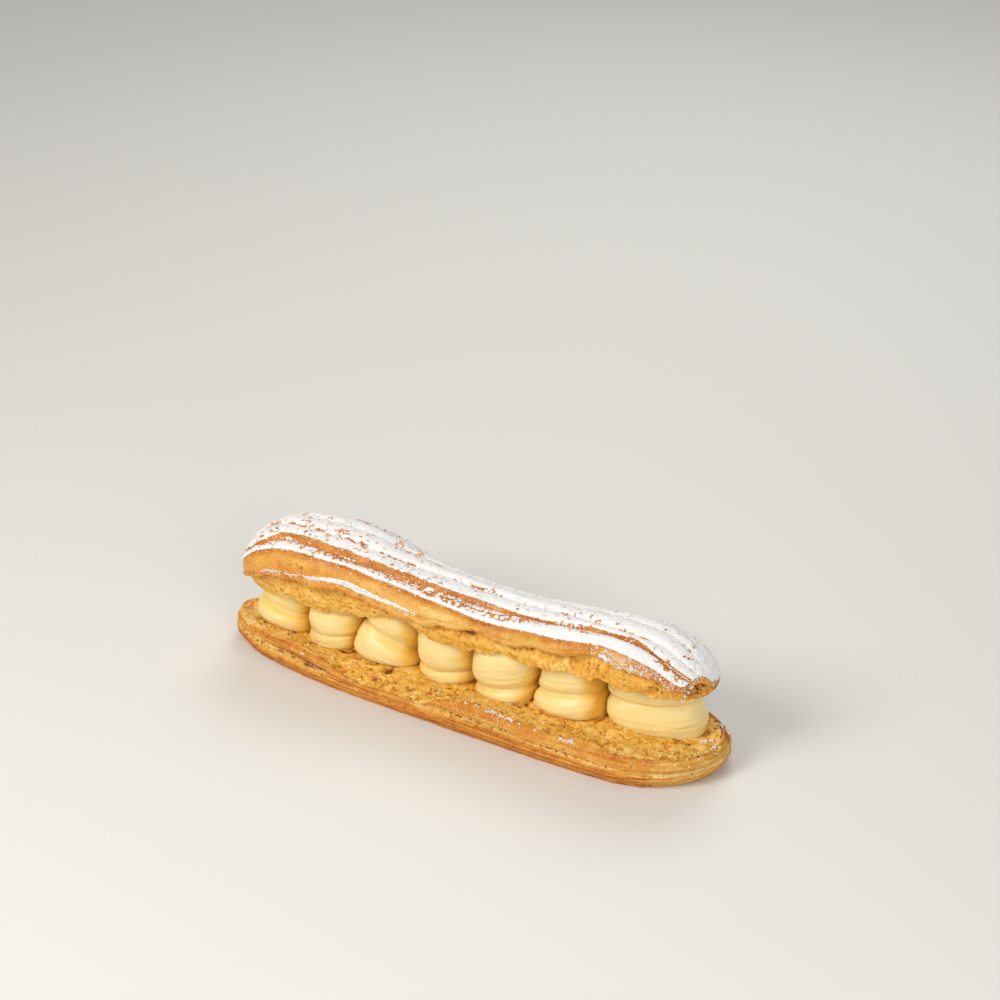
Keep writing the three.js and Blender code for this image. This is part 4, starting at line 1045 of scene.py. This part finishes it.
bake = np.where(angle > 100, 0.5 + 0.2 * smooth((angle - 120) / 20) * smooth((175 - angle) / 20), bake)
bake = bake + clouds(rings, [0.12, (14, 6, 6), 101], [0.1, (5, 2, 2), 102])
# painted shade: the crust's small pits are darkened towards dark brown
lid_fields = {"bake": np.clip(bake, 0, 1), "recess_shade": np.clip(pits / 0.6, 0, 0.7), "sugar": cover,
              "broken": broken, "dust": dust}

# Icing sugar is sugar ground to dust: matt, near white, and soft where light passes between
# its grains. The edge of each drift is drawn ragged at 0.5 mm, the size of its small clumps,
# and the clumps over the first ridge at 1.3 mm.
SUGAR_WHITE = "#f5f3f1"
sugared_choux = new_material("baked choux crust under sieved icing sugar")
crust_colour, crust_relief = baked_colour(sugared_choux)
where = add_node(sugared_choux, "ShaderNodeTexCoord").outputs["Object"]
sugar, broken, dust = (add_node(sugared_choux, "ShaderNodeAttribute", attribute_name=name).outputs["Fac"]
                       for name in ("sugar", "broken", "dust"))
grains = add_node(sugared_choux, "ShaderNodeTexNoise",
                  {"Vector": where, "Scale": 1 / (0.5 * MM), "Detail": 2})
clumps = add_node(sugared_choux, "ShaderNodeTexNoise",
                  {"Vector": where, "Scale": 1 / (1.0 * MM), "Detail": 1.5})
bent = add_node(sugared_choux, "ShaderNodeVectorMath",
                {0: clumps.outputs["Color"], 1: (1.0 * MM,) * 3, 2: where},
                operation="MULTIPLY_ADD")
clumped = add_node(sugared_choux, "ShaderNodeTexVoronoi", {"Vector": bent, "Scale": 1 / (CLUMP_SIZE * MM)})
frayed = add_node(sugared_choux, "ShaderNodeMath", {0: grains, 1: 0.36, 2: sugar}, operation="MULTIPLY_ADD")
ragged = add_node(sugared_choux, "ShaderNodeMath", {0: frayed, 1: 0.18}, operation="SUBTRACT")
between = add_node(sugared_choux, "ShaderNodeMath", {0: clumped, 1: -2.8, 2: 0.1}, operation="MULTIPLY_ADD")
uneven = add_node(sugared_choux, "ShaderNodeMath", {0: clumped.outputs["Color"], 1: 1.4, 2: between},
                  operation="MULTIPLY_ADD")
lying = add_node(sugared_choux, "ShaderNodeMath", {0: broken, 1: uneven, 2: ragged}, operation="MULTIPLY_ADD")
unbroken = add_node(sugared_choux, "ShaderNodeMapRange", {0: lying, 1: 0.38, 2: 0.5})
any_sugar = add_node(sugared_choux, "ShaderNodeMapRange", {0: sugar, 1: 0.15, 2: 0.35})
thick = add_node(sugared_choux, "ShaderNodeMath", {0: unbroken, 1: any_sugar}, operation="MULTIPLY")
dust_grains = add_node(sugared_choux, "ShaderNodeMapRange", {0: grains, 1: 0.35, 2: 0.7})
dusty = add_node(sugared_choux, "ShaderNodeMath", {0: dust_grains, 1: dust}, operation="MULTIPLY")
mask = add_node(sugared_choux, "ShaderNodeMath", {0: thick, 1: dusty}, operation="MAXIMUM")
sugared = add_node(sugared_choux, "ShaderNodeMix", {0: mask, 6: crust_colour, 7: hex_colour(SUGAR_WHITE)},
                   data_type="RGBA")
rough = add_node(sugared_choux, "ShaderNodeMath", {0: mask, 1: 0.4, 2: 0.48}, operation="MULTIPLY_ADD")
sugar_height = add_node(sugared_choux, "ShaderNodeMath", {0: grains, 1: mask}, operation="ADD")
sugared_bump = add_node(sugared_choux, "ShaderNodeBump",
                        {"Height": sugar_height, "Strength": 0.5, "Distance": 0.18 * MM})
sugared_shader = add_node(sugared_choux, "ShaderNodeBsdfPrincipled", {
    "Base Color": sugared.outputs[2], "Roughness": rough, "Normal": sugared_bump, "IOR": 1.45,
    "Subsurface Weight": 0.15, "Subsurface Scale": 1.0 * MM, "Subsurface Radius": (1.0, 0.6, 0.35)})
add_node(sugared_choux, "ShaderNodeOutputMaterial", {"Surface": sugared_shader})
lid_crust_skin = skin(rings, lid_tips(0), lid_fields)
add_piece("lid_crust", *lid_crust_skin, sugared_choux, "sugared_choux", ["lid"])

# Strands of crumb: threads of the egg-rich walls that pulled apart when the bun was split. They
# bridge the pores of the base, and hang from the lid's torn face on to the cream.
STRAND_STEPS, STRAND_SIDES, STRAND_SUNK = 7, 5, 0.15
BASE_STRANDS, NEAR_LID_STRANDS, FAR_LID_STRANDS, LIP_STRANDS = 300, 80, 60, 40
NEAR_SHARE = 0.72
STRAND_PALENESS = 0.32
LIP_STRANDS_ALONG = [[0, 0.04], [0.35, 0.5], [1, 0.9]]


def on_face(face, i, j):
    """The place and the outward direction at fractional row i and column j of a face."""
    found = []
    for grid in face:
        rows, columns = grid.shape[:2]
        low_i = np.clip(np.floor(i).astype(int), 0, rows - 2)
        low_j = np.clip(np.floor(j).astype(int), 0, columns - 2)
        s = np.clip(i - low_i, 0, 1)[..., None]
        t = np.clip(j - low_j, 0, 1)[..., None]
        near = grid[low_i, low_j] * (1 - s) + grid[low_i + 1, low_j] * s
        far = grid[low_i, low_j + 1] * (1 - s) + grid[low_i + 1, low_j + 1] * s
        found.append(near * (1 - t) + far * t)
    return found


def strands(face, rows, columns, run_rows, run_columns, bends, lifts, radii, draw):
    """Thin tapered threads over a face, from given rows and columns, as points and triangles. How
    far each bends, lifts and swells is drawn between the two values given."""
    count = len(rows)
    rows, columns, run_rows, run_columns = (value[:, None]
                                            for value in (rows, columns, run_rows, run_columns))
    bend, lift, radius = (draw.uniform(*limits, count)[:, None] for limits in (bends, lifts, radii))
    t = np.linspace(0, 1, STRAND_STEPS)[None, :]
    arch = np.sin(np.pi * t)
    i = rows + run_rows * t - bend * run_columns * arch
    j = columns + run_columns * t + bend * run_rows * arch
    place, out = on_face(face, i, j)
    place = place + out * (lift * arch - STRAND_SUNK)[..., None]
    beside = np.cross(np.gradient(place, axis=1), out)
    beside /= np.linalg.norm(beside, axis=-1, keepdims=True) + 1e-9
    radius = radius * (0.3 + 0.7 * np.sqrt(arch))
    turn = np.linspace(0, 2 * np.pi, STRAND_SIDES, endpoint=False)[:, None]
    ring = beside[:, :, None, :] * np.cos(turn) + out[:, :, None, :] * np.sin(turn)
    skin_points = place[:, :, None, :] + radius[..., None, None] * ring
    points = np.concatenate([skin_points.reshape(count, -1, 3), place[:, :1], place[:, -1:]], axis=1)
    size = STRAND_STEPS * STRAND_SIDES
    k = np.arange(STRAND_SIDES)
    after = (k + 1) % STRAND_SIDES
    triangles = []
    for low in range(0, size - STRAND_SIDES, STRAND_SIDES):
        high = low + STRAND_SIDES
        triangles += [[low + k, high + k, low + after], [low + after, high + k, high + after]]
    triangles += [[0 * k + size, k, after], [0 * k + size + 1, high + after, high + k]]
    index = np.concatenate([np.stack(corners, -1) for corners in triangles])
    index = index[None] + (size + 2) * np.arange(count)[:, None, None]
    return points.reshape(-1, 3), index.reshape(-1, 3)


def joined(batches):
    """One set of points and triangles from several."""
    first = np.cumsum([0] + [len(points) for points, _ in batches[:-1]])
    points = np.concatenate([points for points, _ in batches])
    return points, np.concatenate([triangles + k for (_, triangles), k in zip(batches, first)])


draw = np.random.default_rng(5)
near_side = draw.random(BASE_STRANDS) < NEAR_SHARE
rows = (CRUMB_SECTIONS - 1) * (0.5 + 0.5 * draw.uniform(-0.96, 0.98, BASE_STRANDS))
across_edge = draw.uniform(2, CRUMB_EDGE_POINTS - 8, BASE_STRANDS)
columns = np.where(near_side, across_edge, CRUMB_TOP_POINTS - across_edge)
heading = draw.uniform(0, 2 * np.pi, BASE_STRANDS)
reach = draw.uniform(4, 11, BASE_STRANDS)
batches = [strands(base_crumb_face, rows, columns, reach * np.cos(heading), 1.3 * reach * np.sin(heading),
                   (-0.3, 0.3), (0.0, 0.35), (0.06, 0.15), draw)]
lid_columns = NEAR_FACE_POINTS + UNDER_POINTS + FAR_FACE_POINTS
for count, top, bottom in ((NEAR_LID_STRANDS, 3, NEAR_FACE_POINTS - 4),
                           (FAR_LID_STRANDS, lid_columns - 4, lid_columns - FAR_FACE_POINTS + 4)):
    rows = draw.uniform(0.04, 0.97, count) * (LID_SECTIONS - 1)
    start = top + (bottom - top) * draw.uniform(0.05, 0.75, count)
    run = (bottom - start) * draw.uniform(0.3, 1.1, count)
    batches.append(strands(lid_crumb_face, rows, start, draw.normal(0, 2.5, count), run,
                           (-0.12, 0.12), (0.0, 0.25), (0.05, 0.12), draw))
rows = through(LIP_STRANDS_ALONG, draw.random(LIP_STRANDS)) * (LID_SECTIONS - 1)
start, bent, run = (draw.uniform(0, 6, LIP_STRANDS), draw.normal(0, 1.2, LIP_STRANDS),
                    draw.uniform(14, 38, LIP_STRANDS))
batches.append(strands(lid_crumb_face, rows, start, bent, run, (-0.05, 0.05), (0.0, 0.25), (0.06, 0.14),
                       draw))
points, triangles = joined(batches)
fields = {"hollow": np.full(len(points), STRAND_PALENESS)}
add_piece("crumb_strands", points, triangles, fields, torn_crumb, "baked_choux")

# Grains of icing sugar: small clumps that the sieve let through. They lie loose beside the
# drifts, in the creases of the crust, along the base's rim and a few on the cream.
TOP_GRAINS, FLANK_GRAINS, RIM_GRAINS = 2600, 700, 120
BIG_CLUMPS = 7
GRAIN_ROUGHNESS, CLUMP_ROUGHNESS = 0.3, 0.25
DUSTED_GRAINS = [[-79, 0], [44, 0], [52, 1], [66, 0.8], [75, 0.4], [79, 0.4]]
RIM_GRAINS_ALONG = [[-83, 0.3], [8, 0.3], [14, 1], [27, 1], [33, 0.4], [60, 0.6], [76, 1.5], [83, 2]]

# a spot is [x, y, z, how far it spreads, number of grains]
SPOTS = [[9.2, -18.2, 9.8, 0.2, 2], [12.8, -17.8, 9.8, 0.3, 3], [14.2, -18.2, 9.8, 0.3, 4],
         [18.2, -18, 9.8, 0.9, 22], [21.4, -18.3, 9.6, 0.8, 18], [24.5, -18.4, 9.6, 0.5, 10],
         [28.4, -18.6, 9.4, 0.2, 3], [33.2, -18.7, 9.3, 0.3, 3], [42.4, -18.6, 9.2, 0.5, 8],
         [44.8, -18.6, 9.2, 0.9, 20], [-52.8, -18.5, 8.1, 0.2, 3], [-48.8, -18.7, 8, 0.3, 3],
         [76.5, 3.6, 8, 0.8, 22], [78, 5, 8.4, 0.7, 16], [79.5, 2.5, 8.8, 0.6, 10], [75.5, 13.3, 9, 0.9, 12],
         [78, 12, 8.8, 0.9, 12], [41.1, -6, 21.8, 0.3, 14], [63, -6.5, 22, 0.5, 20],
         [74.9, -3, 28.6, 0.4, 12], [74.3, -3.2, 27.2, 0.4, 12], [73.4, -3.6, 25.8, 0.45, 12],
         [72.6, -3.4, 24.6, 0.4, 8]]


def lump_shape(subdivisions):
    """Corners and triangles of a ball of radius 1 made of even triangles."""
    ball = bmesh.new()
    bmesh.ops.create_icosphere(ball, subdivisions=subdivisions, radius=1)
    corners = np.array([corner.co[:] for corner in ball.verts])
    faces = np.array([[corner.index for corner in face.verts] for face in ball.faces])
    ball.free()
    return corners, faces


def scattered_lumps(shape, place, out, radius, roughness, draw):
    """Rough lumps of those radii, half sunk where they lie, as points and triangles."""
    corners, faces = shape
    count = len(place)
    rough = 1 + roughness * draw.uniform(-1, 1, (count, len(corners), 1))
    stretch = draw.uniform(0.75, 1.3, (count, 1, 3))
    points = place[:, None] + (corners[None] * rough * stretch + 0.3 * out[:, None]) * radius[:, None, None]
    index = faces[None] + len(corners) * np.arange(count)[:, None, None]
    return points.reshape(-1, 3), index.reshape(-1, 3)


def drawn_places(face, wanted, count, draw):
    """Places and directions drawn at random over a face, more where more are wanted."""
    weight = np.clip(wanted, 0, None).ravel()
    chosen = draw.choice(weight.size, count, p=weight / weight.sum())
    i, j = np.unravel_index(chosen, wanted.shape)
    return on_face(face, i + draw.uniform(-0.5, 0.5, count), j + draw.uniform(-0.5, 0.5, count))


def area_of(face):
    """Area of the face round each of its points."""
    return np.linalg.norm(np.cross(np.gradient(face[0], axis=0), np.gradient(face[0], axis=1)), axis=-1)


draw = np.random.default_rng(11)
crust_face = [grid[:, :outer_count] for grid in lid_crust_face]
sugar_there, angle = lid_fields["sugar"][:, :outer_count], angle[:, :outer_count]
on_top = smooth((angle - sugar_edge + 1) / 2) * smooth((160 - angle) / 20)
bare = on_top * (0.1 + 0.4 * smooth((0.6 - sugar_there) / 0.3) + smooth(1 - np.abs(sugar_there - 0.5) / 0.4))
under_sugar = angle < sugar_edge
below = smooth(1 - (sugar_edge - angle) / 8) * under_sugar
in_crease = 2 * peak(angle - edges[1], 2.5) * through(LEDGE_LINE, x)
dusted = 1.4 * through(DUSTED_GRAINS, x) * under_sugar
crust_area = area_of(crust_face)
grain_shape, clump_shape = lump_shape(1), lump_shape(2)
batches = []
for wanted, count in ((bare, TOP_GRAINS), (0.4 * below + in_crease + dusted, FLANK_GRAINS)):
    place, out = drawn_places(crust_face, wanted * crust_area, count, draw)
    radius = 0.1 + 0.16 * draw.random(count) ** 2
    batches.append(scattered_lumps(grain_shape, place, out, radius, GRAIN_ROUGHNESS, draw))
base_face = [grid[:, :OUTSIDE_POINTS] for grid in base_crust_face]
wanted = through(RIM_GRAINS_ALONG, base_x) * smooth((rim_height - 0.75) / 0.2) * area_of(base_face)
place, out = drawn_places(base_face, wanted, RIM_GRAINS, draw)
radius = 0.1 + 0.2 * draw.random(RIM_GRAINS) ** 2
batches.append(scattered_lumps(grain_shape, place, out, radius, GRAIN_ROUGHNESS, draw))
place, out = drawn_places(crust_face, (in_crease + dusted) * crust_area, BIG_CLUMPS, draw)
radius = draw.uniform(0.25, 0.4, BIG_CLUMPS)
batches.append(scattered_lumps(clump_shape, place, out, radius, CLUMP_ROUGHNESS, draw))
all_faces = (base_crust_face, base_crumb_face, lid_crumb_face, lid_crust_face, *cream_faces)
face_points, face_out = (np.concatenate([face[k].reshape(-1, 3) for face in all_faces]) for k in (0, 1))
for *spot, spread, count in SPOTS:
    wanted = np.array(spot) + spread * draw.normal(size=(count, 3)) * np.array([1, 0.4, 0.4])
    nearest = np.array([np.argmin(np.sum((face_points - place) ** 2, axis=1)) for place in wanted])
    place = 0.5 * wanted + 0.5 * face_points[nearest]
    place[:, 2] = face_points[nearest, 2]
    radius = draw.uniform(0.14, 0.34, count)
    batches.append(scattered_lumps(grain_shape, place, face_out[nearest], radius, GRAIN_ROUGHNESS, draw))

# A loose clump is matt and near white, and lets a little light through its edges.
icing_sugar = new_material("icing sugar, loose grains")
where = add_node(icing_sugar, "ShaderNodeTexCoord").outputs["Object"]
grain = add_node(icing_sugar, "ShaderNodeTexNoise", {"Vector": where, "Scale": 1 / (0.3 * MM), "Detail": 2})
sugar_colour = add_node(icing_sugar, "ShaderNodeValToRGB", {"Fac": grain},
                        [(0.3, "#eceae5"), (0.7, "#f7f6f3")])
sugar_shader = add_node(icing_sugar, "ShaderNodeBsdfPrincipled", {
    "Base Color": sugar_colour, "Roughness": 0.9, "Subsurface Weight": 0.4, "Subsurface Scale": 0.3 * MM,
    "Subsurface Radius": (1.0, 0.9, 0.8)})
add_node(icing_sugar, "ShaderNodeOutputMaterial", {"Surface": sugar_shader})
add_piece("icing_sugar_grains", *joined(batches), {}, icing_sugar, "sugared_choux")

# Loose crumbs: flakes that broke off the crust and the crumb when the bun was split. They lie
# along both edges of the base's torn top and on its rim at the right end.
BASE_CRUMBS, RIM_CRUMBS, CRUMB_ROUGHNESS = 60, 14, 0.22
draw = np.random.default_rng(23)
side_share = np.abs(np.linspace(-1, 1, base_crumb_face[0].shape[1]))[None, :]
on_edge = (side_share > 0.55) * crumb_shown
place, out = drawn_places(base_crumb_face, on_edge * area_of(base_crumb_face), BASE_CRUMBS, draw)
radius = 0.25 + 0.5 * draw.random(BASE_CRUMBS) ** 3
batches = [scattered_lumps(clump_shape, place, out, radius, CRUMB_ROUGHNESS, draw)]
at_right = smooth((base_x - 70) / 8) * smooth((rim_height - 0.8) / 0.15)
place, out = drawn_places(base_face, at_right * area_of(base_face), RIM_CRUMBS, draw)
radius = draw.uniform(0.25, 0.5, RIM_CRUMBS)
batches.append(scattered_lumps(clump_shape, place, out, radius, CRUMB_ROUGHNESS, draw))
crumb_dark = np.repeat(draw.uniform(0.05, 0.6, BASE_CRUMBS + RIM_CRUMBS), len(clump_shape[0]))
add_piece("loose_crumbs", *joined(batches), {"hollow": crumb_dark}, torn_crumb, "baked_choux")
